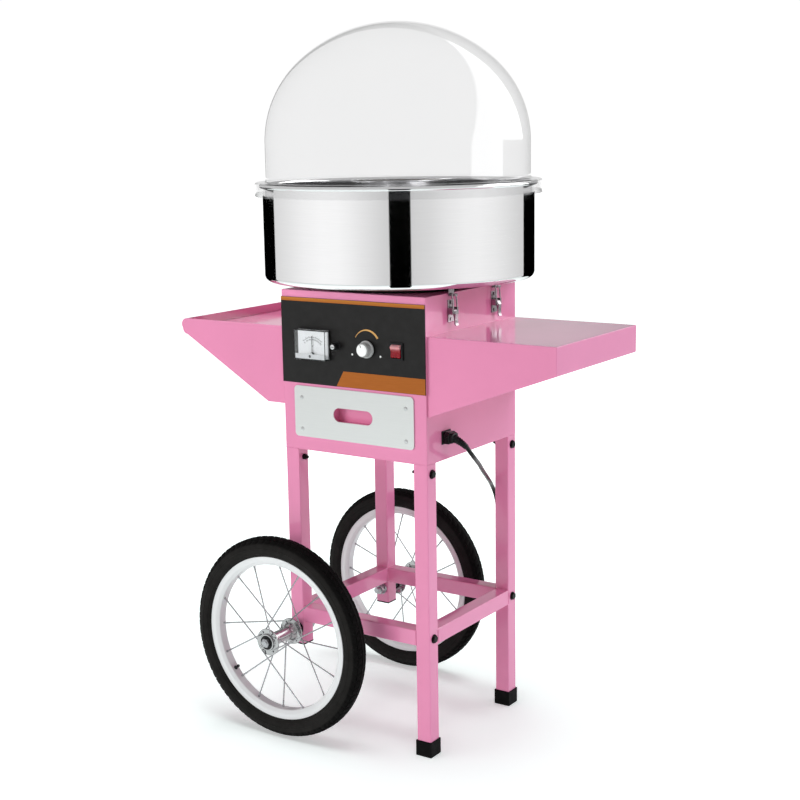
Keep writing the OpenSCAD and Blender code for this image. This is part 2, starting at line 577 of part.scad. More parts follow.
// ---------- drive and spinning head ----------
mt = btop - 62;
module motor() color([0.35, 0.36, 0.38]) difference() {
  union() {
    translate([0, 0, mt - 92]) cylinder(r = 46, h = 86);
    translate([0, 0, mt - 6]) cylinder(r = 40, h = 6);
    translate([0, 0, mt - 98]) cylinder(r = 38, h = 6);
  }
  translate([0, 0, mt - 90]) cylinder(r = 6.05, h = 100, $fn = 64);
}
module motor_bracket() color(steel) difference() {
  union() {
    box3([-65, -65, mt], [65, 65, mt + 3]);
    for (sx = [-1, 1], sy = [-1, 1]) translate([sx * 57, sy * 57, mt + 2]) cylinder(r = 5, h = btop - sheet - mt - 2, $fn = 48);
  }
  translate([0, 0, mt - 1]) cylinder(r = 16, h = 6, $fn = 64);
}
module brush_holder() color([0.45, 0.25, 0.12]) {
  box3([26, -12, mt + 3], [44, 12, mt + 42]);
  for (dz = [14, 30]) box3([20.4, -4, mt + dz], [27, 4, mt + dz + 6]);
}
module motor_shaft() color(steel) {
  translate([0, 0, mt - 88]) cylinder(r = 6, h = 88 + 62 + bowl_gap + 118, $fn = 64);
  translate([0, 0, mt + 8]) cylinder(r = 17, h = 32, $fn = 96);
  for (dz = [13, 29]) translate([0, 0, mt + dz]) cylinder(r = 20, h = 8, $fn = 96);
}
sz = bowl_z + 36;
module spinner_cup() color([0.75, 0.76, 0.78]) translate([0, 0, sz]) rotate_extrude($fn = 128)
  polygon([[6.05, 0], [58, 0], [88, 20], [88, 23], [84, 23], [57, 3], [12, 3], [12, 12], [6.05, 12]]);
module spinner_heater() color([0.6, 0.5, 0.4]) translate([0, 0, sz + 23]) difference() {
  cylinder(r = 87, h = 30, $fn = 128);
  translate([0, 0, -1]) cylinder(r = 85, h = 32, $fn = 128);
  for (k = [0 : 23]) rotate([0, 0, 15 * k]) translate([80, -2, 5]) cube([10, 4, 20]);
}
module spinner_cap() color([0.75, 0.76, 0.78]) translate([0, 0, sz + 53]) {
  rotate_extrude($fn = 128) polygon([[30, 16], [88, 0], [88, 3], [31, 19], [30, 24], [27, 24], [27, 16]]);
  for (k = [0 : 2]) rotate([0, 0, 120 * k]) translate([8, -3, 16]) cube([20, 6, 3]);
  difference() {
    translate([0, 0, 14]) cylinder(r = 10, h = 9, $fn = 48);
    translate([0, 0, 13]) cylinder(r = 6.05, h = 11, $fn = 64);
  }
}

left_side_frame();
right_side_frame();
cross_rails();
leg_caps();
frame_bolts();
tray_left();
tray_right();
body_shell();
bottom_plate();
back_panel();
panel_screws();
control_panel();
voltmeter_case();
voltmeter_dial();
voltmeter_lens();
fuse_holder();
regulator();
switch_housing();
drawer_runners();
power_inlet();
cord_connector();
power_cord();
cord_hank();
mains_plug();
bowl();
bowl_catches();
bowl_seat();
motor();
motor_bracket();
brush_holder();
axles();
latch_bases();
voltmeter_needle();
fuse_cap();
temperature_knob();
switch_rocker();
drawer_box();
drawer_front();
drawer_rivets();
dome();
motor_shaft();
spinner_cup();
spinner_heater();
spinner_cap();
tyre_front();
rim_front();
spokes_front();
hub_front();
tyre_back();
rim_back();
spokes_back();
hub_back();
latch_lever_front_right();
latch_lever_back_right();
latch_lever_front_left();
latch_lever_back_left();
latch_bail_front_right();
latch_bail_back_right();
latch_bail_front_left();
latch_bail_back_left();
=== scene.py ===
import json
import math
from math import cos, pi, radians, sin

import bmesh
import bpy
import numpy as np
from mathutils import Matrix, Vector

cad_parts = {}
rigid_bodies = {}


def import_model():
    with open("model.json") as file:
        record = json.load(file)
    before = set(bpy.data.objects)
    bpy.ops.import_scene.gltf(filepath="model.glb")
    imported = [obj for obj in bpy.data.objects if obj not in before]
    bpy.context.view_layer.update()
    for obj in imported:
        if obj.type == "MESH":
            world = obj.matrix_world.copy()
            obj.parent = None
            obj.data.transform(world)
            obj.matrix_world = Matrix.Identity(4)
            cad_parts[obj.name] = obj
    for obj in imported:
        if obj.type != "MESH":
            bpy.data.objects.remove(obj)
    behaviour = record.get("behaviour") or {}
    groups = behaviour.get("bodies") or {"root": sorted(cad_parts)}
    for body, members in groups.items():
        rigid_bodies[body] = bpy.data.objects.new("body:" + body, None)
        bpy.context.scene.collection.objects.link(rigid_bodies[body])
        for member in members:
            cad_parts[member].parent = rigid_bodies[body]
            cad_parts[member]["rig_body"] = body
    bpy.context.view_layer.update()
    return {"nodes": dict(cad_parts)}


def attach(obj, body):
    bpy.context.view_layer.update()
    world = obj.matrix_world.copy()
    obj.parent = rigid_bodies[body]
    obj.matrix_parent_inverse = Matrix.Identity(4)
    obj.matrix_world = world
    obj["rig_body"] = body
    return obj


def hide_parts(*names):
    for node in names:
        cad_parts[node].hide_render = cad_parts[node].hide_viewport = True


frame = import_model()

NODE = frame["nodes"]
scene = bpy.context.scene
MM = 0.001
Z = Vector((0, 0, 1))

# ------------------------------------------------------------------ camera
a, p, r = radians(34.06), radians(10.65), radians(-0.94)
back = Vector((sin(a) * cos(p), -cos(a) * cos(p), sin(p)))
right = (-back).cross(Z).normalized()
up = right.cross(-back)
rr = right * cos(r) + up * sin(r)
uu = up * cos(r) - right * sin(r)
eye = Vector((1.5289, -2.2681, 1.1496))
cam_data = bpy.data.cameras.new("camera")
cam = bpy.data.objects.new("camera", cam_data)
scene.collection.objects.link(cam)
cam.matrix_world = Matrix(((rr.x, uu.x, back.x, eye.x), (rr.y, uu.y, back.y, eye.y), (rr.z, uu.z, back.z, eye.z), (0, 0, 0, 1)))
cam_data.sensor_width = 36
cam_data.lens = 65.07
cam_data.clip_start, cam_data.clip_end = 0.05, 100
scene.camera = cam
scene.view_settings.view_transform = "Standard"


# ------------------------------------------------------------------ mesh helpers, in millimetres
class Build:
    """Closed shapes gathered into one mesh."""

    def __init__(self):
        self.v, self.f, self.m = [], [], []

    def add(self, shape, M=None, mat=0):
        v, f = shape
        o = len(self.v)
        if M is not None:
            v = [M @ Vector(q) for q in v]
        self.v += [tuple(q) for q in v]
        self.f += [tuple(o + i for i in q) for q in f]
        self.m += [mat] * len(f)
        return self

    def make(self, name, mats, body="cart", nodes=(), angle=38, slot=None, even=True):
        me = bpy.data.meshes.new(name)
        me.from_pydata([(x * MM, y * MM, z * MM) for x, y, z in self.v], [], self.f)
        for m in mats if isinstance(mats, (list, tuple)) else [mats]:
            me.materials.append(m)
        me.polygons.foreach_set("material_index", self.m)
        bm = bmesh.new()
        bm.from_mesh(me)
        bmesh.ops.recalc_face_normals(bm, faces=bm.faces)
        bm.to_mesh(me)
        bm.free()
        me.shade_smooth()
        me.set_sharp_from_angle(angle=radians(angle))
        ob = bpy.data.objects.new(name, me)
        scene.collection.objects.link(ob)
        if even:
            even_normals(ob)
        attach(ob, body)
        if nodes:
            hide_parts(*nodes)
        return ob


def even_normals(ob):
    """Flat faces shade flat next to their rounded edges."""
    m = ob.modifiers.new("even_normals", "WEIGHTED_NORMAL")
    m.mode = "FACE_AREA"
    m.keep_sharp = True


def fillet(points, radii, seg=5, closed=True):
    """A 2-D outline with its corners rounded."""
    out, n = [], len(points)
    for i, q in enumerate(points):
        rad = radii[i] if isinstance(radii, (list, tuple)) else radii
        if rad <= 0 or (not closed and i in (0, n - 1)):
            out.append(tuple(q))
            continue
        b = Vector(q)
        u = Vector(points[i - 1]) - b
        w = Vector(points[(i + 1) % n]) - b
        lu, lw = u.length, w.length
        u.normalize()
        w.normalize()
        ang = u.angle(w)
        if ang > pi - 0.02:
            out.append(tuple(q))
            continue
        t = min(rad / math.tan(ang / 2), 0.49 * lu, 0.49 * lw)
        rad = t * math.tan(ang / 2)
        bis = (u + w).normalized()
        c = b + bis * (rad / sin(ang / 2))
        p0, p1 = b + u * t, b + w * t
        a0 = math.atan2(p0.y - c.y, p0.x - c.x)
        a1 = math.atan2(p1.y - c.y, p1.x - c.x)
        d = (a1 - a0 + pi) % (2 * pi) - pi
        out += [(c.x + rad * cos(a0 + d * k / seg), c.y + rad * sin(a0 + d * k / seg)) for k in range(seg + 1)]
    return out


def lathe(prof, n=96, closed=True):
    """Profile points (radius, height) turned about the Z axis."""
    v, f, rows = [], [], []
    for rad, h in prof:
        if rad < 1e-6:
            rows.append([len(v)])
            v.append((0, 0, h))
        else:
            rows.append(list(range(len(v), len(v) + n)))
            v += [(rad * cos(2 * pi * k / n), rad * sin(2 * pi * k / n), h) for k in range(n)]
    pairs = list(zip(rows[:-1], rows[1:])) + ([(rows[-1], rows[0])] if closed and len(rows[0]) > 1 and len(rows[-1]) > 1 else [])
    for A, B in pairs:
        if len(A) == 1 and len(B) == 1:
            continue
        for k in range(n):
            j = (k + 1) % n
            if len(A) == 1:
                f.append((A[0], B[j], B[k]))
            elif len(B) == 1:
                f.append((A[k], A[j], B[0]))
            else:
                f.append((A[k], A[j], B[j], B[k]))
    return v, f


def rod(r, h, n=32, c=0.4, z0=0.0):
    """A round bar with eased ends."""
    return lathe([(0, z0), (r - c, z0), (r, z0 + c), (r, z0 + h - c), (r - c, z0 + h), (0, z0 + h)], n, closed=False)


def hexnut(r, h, c=0.9, z0=0.0):
    return lathe([(0, z0), (r - c * 0.4, z0), (r, z0 + c * 0.5), (r, z0 + h - c), (r - c * 1.2, z0 + h), (0, z0 + h)], 6, closed=False)


def ring(r0, r1, h, n=48, c=0.3, z0=0.0):
    return lathe(fillet([(r0, z0), (r1, z0), (r1, z0 + h), (r0, z0 + h)], c, 3), n)


def from_bm(bm):
    bm.verts.ensure_lookup_table()
    bm.verts.index_update()
    out = [tuple(q.co) for q in bm.verts], [tuple(q.index for q in g.verts) for g in bm.faces]
    bm.free()
    return out


def rbox(lo, hi, rad=1.0, seg=3):
    """A box with rounded edges."""
    bm = bmesh.new()
    bmesh.ops.create_cube(bm, size=1)
    for q in bm.verts:
        q.co = Vector([lo[i] + (hi[i] - lo[i]) * (q.co[i] + 0.5) for i in range(3)])
    bmesh.ops.bevel(bm, geom=list(bm.edges), offset=rad, offset_type="OFFSET", segments=seg, profile=0.5, affect="EDGES", clamp_overlap=True)
    return from_bm(bm)


def prism(outline, z0, z1, rad=0.0, seg=2, both=True):
    """An outline in X and Y drawn up from z0 to z1, its rims eased."""
    bm = bmesh.new()
    vs = [bm.verts.new((x, y, z0)) for x, y in outline]
    face = bm.faces.new(vs)
    g = bmesh.ops.extrude_face_region(bm, geom=[face])
    top = [q for q in g["geom"] if isinstance(q, bmesh.types.BMVert)]
    for q in top:
        q.co.z = z1
    bmesh.ops.recalc_face_normals(bm, faces=bm.faces)
    if rad > 0:
        edges = [e for e in bm.edges if abs(e.verts[0].co.z - e.verts[1].co.z) < 1e-6 and (both or e.verts[0].co.z > (z0 + z1) / 2)]
        bmesh.ops.bevel(bm, geom=edges, offset=rad, offset_type="OFFSET", segments=seg, profile=0.5, affect="EDGES", clamp_overlap=True)
    return from_bm(bm)


def tube(path, rad, n=12, caps=True, closed=False):
    """A round section swept along a path; rad is a number or one number for each point."""
    P = [Vector(q) for q in path]
    m = len(P)
    T = []
    for i in range(m):
        if closed:
            t = P[(i + 1) % m] - P[i - 1]
        else:
            t = P[min(i + 1, m - 1)] - P[max(i - 1, 0)]
        T.append(t.normalized())
    ref = Vector((0, 0, 1)) if abs(T[0].z) < 0.9 else Vector((1, 0, 0))
    e1 = T[0].cross(ref).normalized()
    v, f = [], []
    for i in range(m):
        if i:
            e1 = (e1 - T[i] * e1.dot(T[i])).normalized()
        e2 = T[i].cross(e1)
        rad_i = rad[i] if isinstance(rad, (list, tuple)) else rad
        v += [P[i] + e1 * (rad_i * cos(2 * pi * k / n)) + e2 * (rad_i * sin(2 * pi * k / n)) for k in range(n)]
    for i in range(m if closed else m - 1):
        j = (i + 1) % m
        for k in range(n):
            l = (k + 1) % n
            f.append((i * n + k, i * n + l, j * n + l, j * n + k))
    if caps and not closed:
        f.append(tuple(range(n)))
        f.append(tuple((m - 1) * n + k for k in range(n)))
    return [tuple(q) for q in v], f


def band(path, w, t, axis):
    """A closed flat strap along a loop: w is its width along axis, t its thickness outward."""
    P = [Vector(q) for q in path]
    m = len(P)
    ax = Vector(axis).normalized()
    v, f = [], []
    for i in range(m):
        tan = (P[(i + 1) % m] - P[i - 1]).normalized()
        out = tan.cross(ax).normalized()
        v += [P[i] - ax * (w / 2), P[i] + ax * (w / 2), P[i] + ax * (w / 2) + out * t, P[i] - ax * (w / 2) + out * t]
    for i in range(m):
        j = (i + 1) % m
        for k in range(4):
            l = (k + 1) % 4
            f.append((i * 4 + k, i * 4 + l, j * 4 + l, j * 4 + k))
    return [tuple(q) for q in v], f


def catmull(pts, n):
    P = [Vector(q) for q in pts]
    out = []
    for i in range(len(P) - 1):
        A, B, C, D = P[max(i - 1, 0)], P[i], P[i + 1], P[min(i + 2, len(P) - 1)]
        for k in range(n):
            t = k / n
            out.append(0.5 * (2 * B + (C - A) * t + (2 * A - 5 * B + 4 * C - D) * t * t + (3 * B - A - 3 * C + D) * t ** 3))
    return out + [P[-1]]


def along(d):
    """Turns the Z axis onto a direction."""
    return Vector(d).to_track_quat("Z", "Y").to_matrix().to_4x4()


def at(x, y, z):
    return Matrix.Translation((x, y, z))


def soft(node, mat, passes, angle=40, name=None, smooth=38):
    """The piece of a CAD node with its hard edges eased. passes: (chooser or None, width in mm, segments)."""
    src = NODE[node]
    me = src.data.copy()
    me.name = name or node + "_finished"
    bm = bmesh.new()
    bm.from_mesh(me)
    bmesh.ops.remove_doubles(bm, verts=bm.verts, dist=3e-6)
    bmesh.ops.dissolve_limit(bm, angle_limit=radians(0.5), use_dissolve_boundaries=False, verts=bm.verts, edges=bm.edges, delimit=set())
    for choose, width, seg in passes:
        edges = []
        for e in bm.edges:
            if len(e.link_faces) == 2 and e.calc_face_angle(0) > radians(angle):
                mid = (e.verts[0].co + e.verts[1].co) / 2 / MM
                way = (e.verts[1].co - e.verts[0].co) / MM
                if choose is None or choose(mid, way):
                    edges.append(e)
        if edges:
            bmesh.ops.bevel(bm, geom=edges, offset=width * MM, offset_type="OFFSET", segments=seg, profile=0.5, affect="EDGES", clamp_overlap=True)
    bmesh.ops.recalc_face_normals(bm, faces=bm.faces)
    bm.to_mesh(me)
    bm.free()
    me.materials.clear()
    me.materials.append(mat)
    me.polygons.foreach_set("material_index", [0] * len(me.polygons))
    if me.has_custom_normals:
        for att in [q for q in me.attributes if q.name == "custom_normal"]:
            me.attributes.remove(att)
    me.shade_smooth()
    me.set_sharp_from_angle(angle=radians(smooth))
    ob = bpy.data.objects.new(me.name, me)
    scene.collection.objects.link(ob)
    even_normals(ob)
    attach(ob, NODE[node]["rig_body"])
    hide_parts(node)
    return ob


# ------------------------------------------------------------------ materials
class Shade:
    """A node material about one principled shader; coordinates are the piece's own, in metres."""

    def __init__(self, name, color=(0.5, 0.5, 0.5), rough=0.5, metal=0.0, **sockets):
        self.mat = bpy.data.materials.new(name)
        self.mat.use_nodes = True
        self.nt = self.mat.node_tree
        self.b = self.nt.nodes["Principled BSDF"]
        self.b.inputs["Base Color"].default_value = (*color, 1)
        self.b.inputs["Roughness"].default_value = rough
        self.b.inputs["Metallic"].default_value = metal
        for k, val in sockets.items():
            self.b.inputs[k.replace("_", " ")].default_value = val
        self.co = self.nt.nodes.new("ShaderNodeTexCoord").outputs["Object"]
        self.mat.diffuse_color = (*color, 1)

    def link(self, x, y):
        self.nt.links.new(x, y)

    def stretch(self, sx, sy, sz):
        m = self.nt.nodes.new("ShaderNodeMapping")
        m.inputs["Scale"].default_value = (sx, sy, sz)
        self.link(self.co, m.inputs["Vector"])
        return m.outputs["Vector"]

    def noise(self, scale, detail=3, rough=0.55, vec=None):
        t = self.nt.nodes.new("ShaderNodeTexNoise")
        t.inputs["Scale"].default_value = scale
        t.inputs["Detail"].default_value = detail
        t.inputs["Roughness"].default_value = rough
        self.link(vec or self.co, t.inputs["Vector"])
        return t.outputs["Fac"]

    def cells(self, scale, vec=None):
        t = self.nt.nodes.new("ShaderNodeTexVoronoi")
        t.inputs["Scale"].default_value = scale
        self.link(vec or self.co, t.inputs["Vector"])
        return t.outputs["Distance"]

    def remap(self, x, f0, f1, t0, t1, smooth=False):
        m = self.nt.nodes.new("ShaderNodeMapRange")
        m.interpolation_type = "SMOOTHSTEP" if smooth else "LINEAR"
        for k, val in zip(("From Min", "From Max", "To Min", "To Max"), (f0, f1, t0, t1)):
            m.inputs[k].default_value = val
        self.link(x, m.inputs["Value"])
        return m.outputs["Result"]

    def mix(self, fac, c0, c1):
        m = self.nt.nodes.new("ShaderNodeMix")
        m.data_type = "RGBA"
        self.link(fac, m.inputs[0])
        for i, c in ((6, c0), (7, c1)):
            if isinstance(c, tuple):
                m.inputs[i].default_value = (*c, 1)
            else:
                self.link(c, m.inputs[i])
        return m.outputs[2]

    def math(self, op, x, y=None):
        m = self.nt.nodes.new("ShaderNodeMath")
        m.operation = op
        for i, q in enumerate((x, y)):
            if q is None:
                continue
            if isinstance(q, (int, float)):
                m.inputs[i].default_value = q
            else:
                self.link(q, m.inputs[i])
        return m.outputs[0]

    def sep(self):
        s = self.nt.nodes.new("ShaderNodeSeparateXYZ")
        self.link(self.co, s.inputs[0])
        return s.outputs

    def color(self, x):
        self.link(x, self.b.inputs["Base Color"])

    def rough(self, x):
        self.link(x, self.b.inputs["Roughness"])

    def bump(self, height, strength=0.2, distance=0.0002, normal=None):
        b = self.nt.nodes.new("ShaderNodeBump")
        b.inputs["Strength"].default_value = strength
        b.inputs["Distance"].default_value = distance
        self.link(height, b.inputs["Height"])
        if normal is not None:
            self.link(normal, b.inputs["Normal"])
        self.link(b.outputs["Normal"], self.b.inputs["Normal"])
        return b.outputs["Normal"]


def paint(name, col, rough=0.3, coat=0.5, spread=0.03):
    s = Shade(name, col, rough, 0, Coat_Weight=coat, Coat_Roughness=0.06, Coat_IOR=1.5, Specular_IOR_Level=0.3)
    dark = tuple(c * (1 - spread) for c in col)
    light = tuple(min(1, c * (1 + spread * 0.5)) for c in col)
    s.color(s.mix(s.remap(s.noise(9, 4), 0.3, 0.7, 0, 1), dark, light))
    return s.mat


def plastic(name, col, rough=0.42, grain=0.15, spread=0.25, scale=1400, spec=0.3):
    s = Shade(name, col, rough, 0, Specular_IOR_Level=spec)
    s.color(s.mix(s.remap(s.noise(90, 3), 0.3, 0.7, 0, 1), tuple(c * (1 - spread) for c in col), tuple(c * (1 + spread) for c in col)))
    s.rough(s.remap(s.noise(200, 3), 0.3, 0.7, rough - 0.06, rough + 0.08))
    s.bump(s.noise(scale, 2), grain, 0.0001)
    return s.mat


def metal(name, col, rough=0.3, vary=0.08, brush=None, strength=0.05, spread=0.06, aniso=0.0):
    s = Shade(name, col, rough, 1.0, Anisotropic=aniso)
    vec = s.stretch(*brush) if brush else None
    n = s.noise(1.0 if brush else 140, 4, 0.6, vec)
    s.color(s.mix(s.remap(n, 0.3, 0.7, 0, 1), tuple(c * (1 - spread) for c in col), tuple(min(1, c * (1 + spread)) for c in col)))
    s.rough(s.remap(n, 0.25, 0.75, max(0.01, rough - vary), rough + vary))
    s.bump(n, strength, 0.0001)
    return s.mat


PINK = (0.800, 0.262, 0.452)
m_pink = paint("pink_powder_coat", PINK, 0.12, 0.30)
m_white = paint("white_enamel", (0.75, 0.75, 0.76), 0.28, 0.3)
m_motor = paint("motor_enamel", (0.045, 0.05, 0.055), 0.4, 0.2, 0.15)
m_blackplastic = plastic("black_plastic", (0.009, 0.009, 0.010), 0.38, spec=0.25)
m_grey = plastic("grey_plastic", (0.09, 0.09, 0.10), 0.45)
m_cord = plastic("cord_pvc", (0.006, 0.006, 0.007), 0.28, 0.08, 0.2, 700, 0.22)
m_rubber = plastic("foot_rubber", (0.005, 0.005, 0.005), 0.6, 0.2, 0.35, 900, 0.05)
m_boltblack = metal("black_oxide", (0.014, 0.013, 0.0135), 0.42, 0.1, None, 0.1, 0.3)
m_zinc = metal("zinc_plate", (0.42, 0.42, 0.44), 0.30, 0.1, None, 0.08, 0.12)
m_chrome = metal("bright_plate", (0.72, 0.72, 0.73), 0.13, 0.05, None, 0.04, 0.05)
# the latch metal is darkened and tinted pink: painted shade and a painted reflection of the pink cabinet
m_latch = metal("latch_metal_painted_pink_reflection", (0.30, 0.262, 0.282), 0.22, 0.05, None, 0.05, 0.12)
m_steel = metal("turned_steel", (0.62, 0.62, 0.63), 0.26, 0.08, (60, 60, 3000), 0.06)
m_alu = metal("cast_aluminium", (0.70, 0.70, 0.71), 0.27, 0.1, None, 0.25, 0.08)
m_hub = metal("polished_aluminium", (0.42, 0.415, 0.42), 0.20, 0.07, None, 0.06, 0.08)
m_spoke = metal("galvanised_wire", (0.40, 0.40, 0.415), 0.24, 0.08, None, 0.03, 0.08)
m_heater = metal("heat_tinted_alloy", (0.42, 0.33, 0.24), 0.35, 0.12, (80, 80, 900), 0.1, 0.25)
m_bowl = metal("mirror_stainless", (0.88, 0.88, 0.885), 0.045, 0.012, (18, 18, 700), 0.012, 0.012)
m_drawer = metal("brushed_stainless", (0.77, 0.77, 0.765), 0.36, 0.06, (14, 500, 2600), 0.05, 0.03)
m_rivet = metal("rivet_steel", (0.62, 0.62, 0.625), 0.32, 0.08, None, 0.05, 0.10)
m_phenolic = plastic("phenolic_board", (0.16, 0.07, 0.03), 0.45, 0.2, 0.3, 500)
m_needle = plastic("needle_black", (0.015, 0.015, 0.017), 0.4, 0.05)


def clear(name, tint, rough, ior=1.49):
    s = Shade(name, tint, rough, 0, Transmission_Weight=1.0, IOR=ior)
    s.rough(s.remap(s.noise(14, 3), 0.3, 0.7, rough * 0.4, rough * 1.4))
    s.bump(s.noise(5, 1), 0.02, 0.001)
    return s.mat


def dome_skin():
    s = Shade("clear_acrylic", (0.97, 0.975, 0.98), 0.014, 1.0)
    s.rough(s.remap(s.noise(14, 3), 0.3, 0.7, 0.008, 0.020))
    lw = s.nt.nodes.new("ShaderNodeLayerWeight")
    lw.inputs["Blend"].default_value = 0.5
    face = s.remap(s.math("POWER", lw.outputs["Facing"], 5.0), 0, 1, 0.04, 1.0)
    rear = s.remap(s.nt.nodes.new("ShaderNodeNewGeometry").outputs["Backfacing"], 0, 1, 1, 0)
    s.link(s.math("MULTIPLY", face, rear), s.b.inputs["Alpha"])
    return s.mat


def dome_body():
    s = Shade("clear_acrylic_body", (0.20, 0.20, 0.21), 0.5, 0, Specular_IOR_Level=0.0)
    n = s.remap(s.noise(6, 2), 0.3, 0.7, 0, 1)
    s.color(s.mix(n, (0.19, 0.19, 0.20), (0.22, 0.22, 0.23)))
    s.link(s.remap(n, 0, 1, 0.088, 0.094), s.b.inputs["Alpha"])
    return s.mat


m_dome, m_domebody = dome_skin(), dome_body()
m_lens = clear("meter_cover_acrylic", (0.97, 0.98, 0.985), 0.02)


def frosted():
    s = Shade("frosted_cover_band", (0.80, 0.81, 0.83), 0.4, 0, Transmission_Weight=0.1, IOR=1.49)
    x, y, z = s.sep()
    rib = s.math("SINE", s.math("MULTIPLY", z, 2 * pi / 0.0021))
    s.color(s.mix(s.remap(rib, -1, 1, 0, 1), (0.70, 0.71, 0.73), (0.88, 0.89, 0.90)))
    s.bump(s.noise(900, 2), 0.2, 0.0001)
    return s.mat


m_frost = frosted()


def panel_black():
    s = Shade("panel_black_print", (0.010, 0.009, 0.009), 0.36, 0, Specular_IOR_Level=0.25)
    s.color(s.mix(s.remap(s.noise(60, 3), 0.3, 0.7, 0, 1), (0.008, 0.007, 0.007), (0.012, 0.011, 0.011)))
    s.rough(s.remap(s.noise(300, 2), 0.3, 0.7, 0.30, 0.44))
    s.bump(s.cells(1500), 0.12, 0.00006)
    return s.mat


m_panel = panel_black()


def orange_print():
    s = Shade("orange_print", (0.40, 0.12, 0.020), 0.38, 0, Specular_IOR_Level=0.15)
    x, y, z = s.sep()
    g = s.remap(z, 0.8375, 0.845, 0, 1)
    grain = s.remap(s.noise(1.0, 3, 0.6, s.stretch(30, 30, 1500)), 0.3, 0.7, 0, 1)
    low = s.mix(grain, (0.35, 0.100, 0.015), (0.42, 0.125, 0.022))
    s.color(s.mix(g, low, (0.50, 0.19, 0.035)))
    s.rough(s.remap(s.noise(300, 2), 0.3, 0.7, 0.32, 0.46))
    s.bump(s.cells(1500), 0.08, 0.00005)
    return s.mat


m_orange = orange_print()
m_scale = plastic("scale_print", (0.62, 0.34, 0.11), 0.4, 0.05, 0.08)
m_mark = plastic("white_print", (0.80, 0.80, 0.78), 0.4, 0.05, 0.05)
m_dialblack = plastic("dial_print", (0.02, 0.02, 0.022), 0.5, 0.03, 0.1)
m_dial = plastic("dial_face", (0.90, 0.905, 0.92), 0.45, 0.05, 0.02)
m_knobgrip = plastic("knob_grip", (0.42, 0.42, 0.42), 0.32, 0.12, 0.08)


def knob_cap():
    s = Shade("knob_cap_spun", (0.96, 0.96, 0.95), 0.30, 0.05)
    x, y, z = s.sep()
    dx, dz = s.math("SUBTRACT", x, 0.036), s.math("SUBTRACT", z, 0.7585)
    rad = s.math("SQRT", s.math("ADD", s.math("MULTIPLY", dx, dx), s.math("MULTIPLY", dz, dz)))
    w = s.math("SINE", s.math("MULTIPLY", rad, 2 * pi / 0.0007))
    s.color(s.mix(s.remap(w, -1, 1, 0, 1), (0.93, 0.93, 0.92), (1.0, 1.0, 0.99)))
    s.rough(s.remap(w, -1, 1, 0.26, 0.36))
    s.bump(w, 0.25, 0.00004)
    return s.mat


m_knobcap = knob_cap()


def red_rocker_painted_highlight():
    s = Shade("red_translucent", (0.55, 0.006, 0.012), 0.16, 0, Subsurface_Weight=0.25, Subsurface_Scale=0.004, Coat_Weight=0.12, Coat_Roughness=0.04, Specular_IOR_Level=0.25)
    low = s.mix(s.remap(s.noise(220, 2), 0.3, 0.7, 0, 1), (0.21, 0.002, 0.009), (0.29, 0.005, 0.013))
    x, y, z = s.sep()
    # the top of the rocker is painted a pale pink: a painted highlight standing for the lamp's reflection there
    s.color(s.mix(s.remap(z, 0.7600, 0.7665, 0, 1, True), low, (0.66, 0.29, 0.31)))
    s.bump(s.noise(800, 2), 0.04, 0.0001)
    return s.mat


m_red = red_rocker_painted_highlight()


def tyre_rubber():
    s = Shade("tyre_rubber", (0.012, 0.011, 0.011), 0.6, 0, Specular_IOR_Level=0.04)
    n = s.remap(s.noise(45, 4, 0.65), 0.35, 0.75, 0, 1)
    side = s.mix(n, (0.0130, 0.0121, 0.0115), (0.0200, 0.0186, 0.0177))
    tread = s.mix(n, (0.0036, 0.0033, 0.0032), (0.0066, 0.0061, 0.0059))
    x, y, z = s.sep()
    dx, dz = s.math("ADD", x, 0.145), s.math("SUBTRACT", z, 0.197)
    rad = s.math("SQRT", s.math("ADD", s.math("MULTIPLY", dx, dx), s.math("MULTIPLY", dz, dz)))
    s.color(s.mix(s.remap(rad, 0.1835, 0.1880, 0, 1, True), side, tread))
    s.rough(s.remap(s.noise(160, 4), 0.3, 0.7, 0.48, 0.68))
    s.bump(s.noise(1100, 3), 0.2, 0.0001)
    return s.mat


m_tyre = tyre_rubber()

# ------------------------------------------------------------------ mains lead: connector, cord, hank, plug
ROUTE = [(198, -86, 580), (203, -73, 562), (186, -24, 535.5), (164, 28, 508.5), (142.5, 80, 482.5), (122, 130, 456),
         (114, 160, 426), (106.5, 185, 382), (100.5, 203, 318), (97, 212.5, 242), (95, 216, 160)]
HX, HY = Vector((cos(radians(120)), sin(radians(120)), 0)), Vector((cos(radians(30)), sin(radians(30)), 0))
HC = Vector((114.2, 198.8, 0))
PLUG = Vector((130, 180, 0))


def hank_point(x, layer, z):
    return HC + HX * x + HY * layer + Z * z


def hank_path():
    R, lo, hi = 24.0, 28.5, 148.5
    pts = []

    def run(x, l0, l1, z0, z1, n=10):
        for k in range(1, n + 1):
            t = k / n
            pts.append(hank_point(x, l0 + (l1 - l0) * (3 * t * t - 2 * t ** 3), z0 + (z1 - z0) * t))

    def bend(zc, x_from, l0, l1, sign, n=18):
        for k in range(1, n + 1):
            t = k / n
            g = pi * t
            pts.append(hank_point(x_from * cos(g), l0 + (l1 - l0) * (3 * t * t - 2 * t ** 3), zc + sign * R * sin(g)))

    run(24, -8, -8, 160, lo)
    bend(lo, 24, -8, -8, -1)
    run(-24, -8, -8, lo, hi)
    bend(hi, -24, -8, 0, 1)
    run(24, 0, 0, hi, lo)
    bend(lo, 24, 0, 0, -1)
    run(-24, 0, 0, lo, hi - 9)
    bend(hi - 9, -24, 0, 8, 1)
    run(24, 8, 8, hi - 9, lo)
    bend(lo, 24, 8, 8, -1)
    run(-24, 8, 8, lo, 112)
    top = (PLUG - HC).dot(HX), (PLUG - HC).dot(HY)
    for k in range(1, 13):
        t = k / 12
        s = 3 * t * t - 2 * t ** 3
        pts.append(hank_point(-24 + (top[0] + 24) * s, 8 + (top[1] - 8) * s, 112 + 51 * t))
    return pts


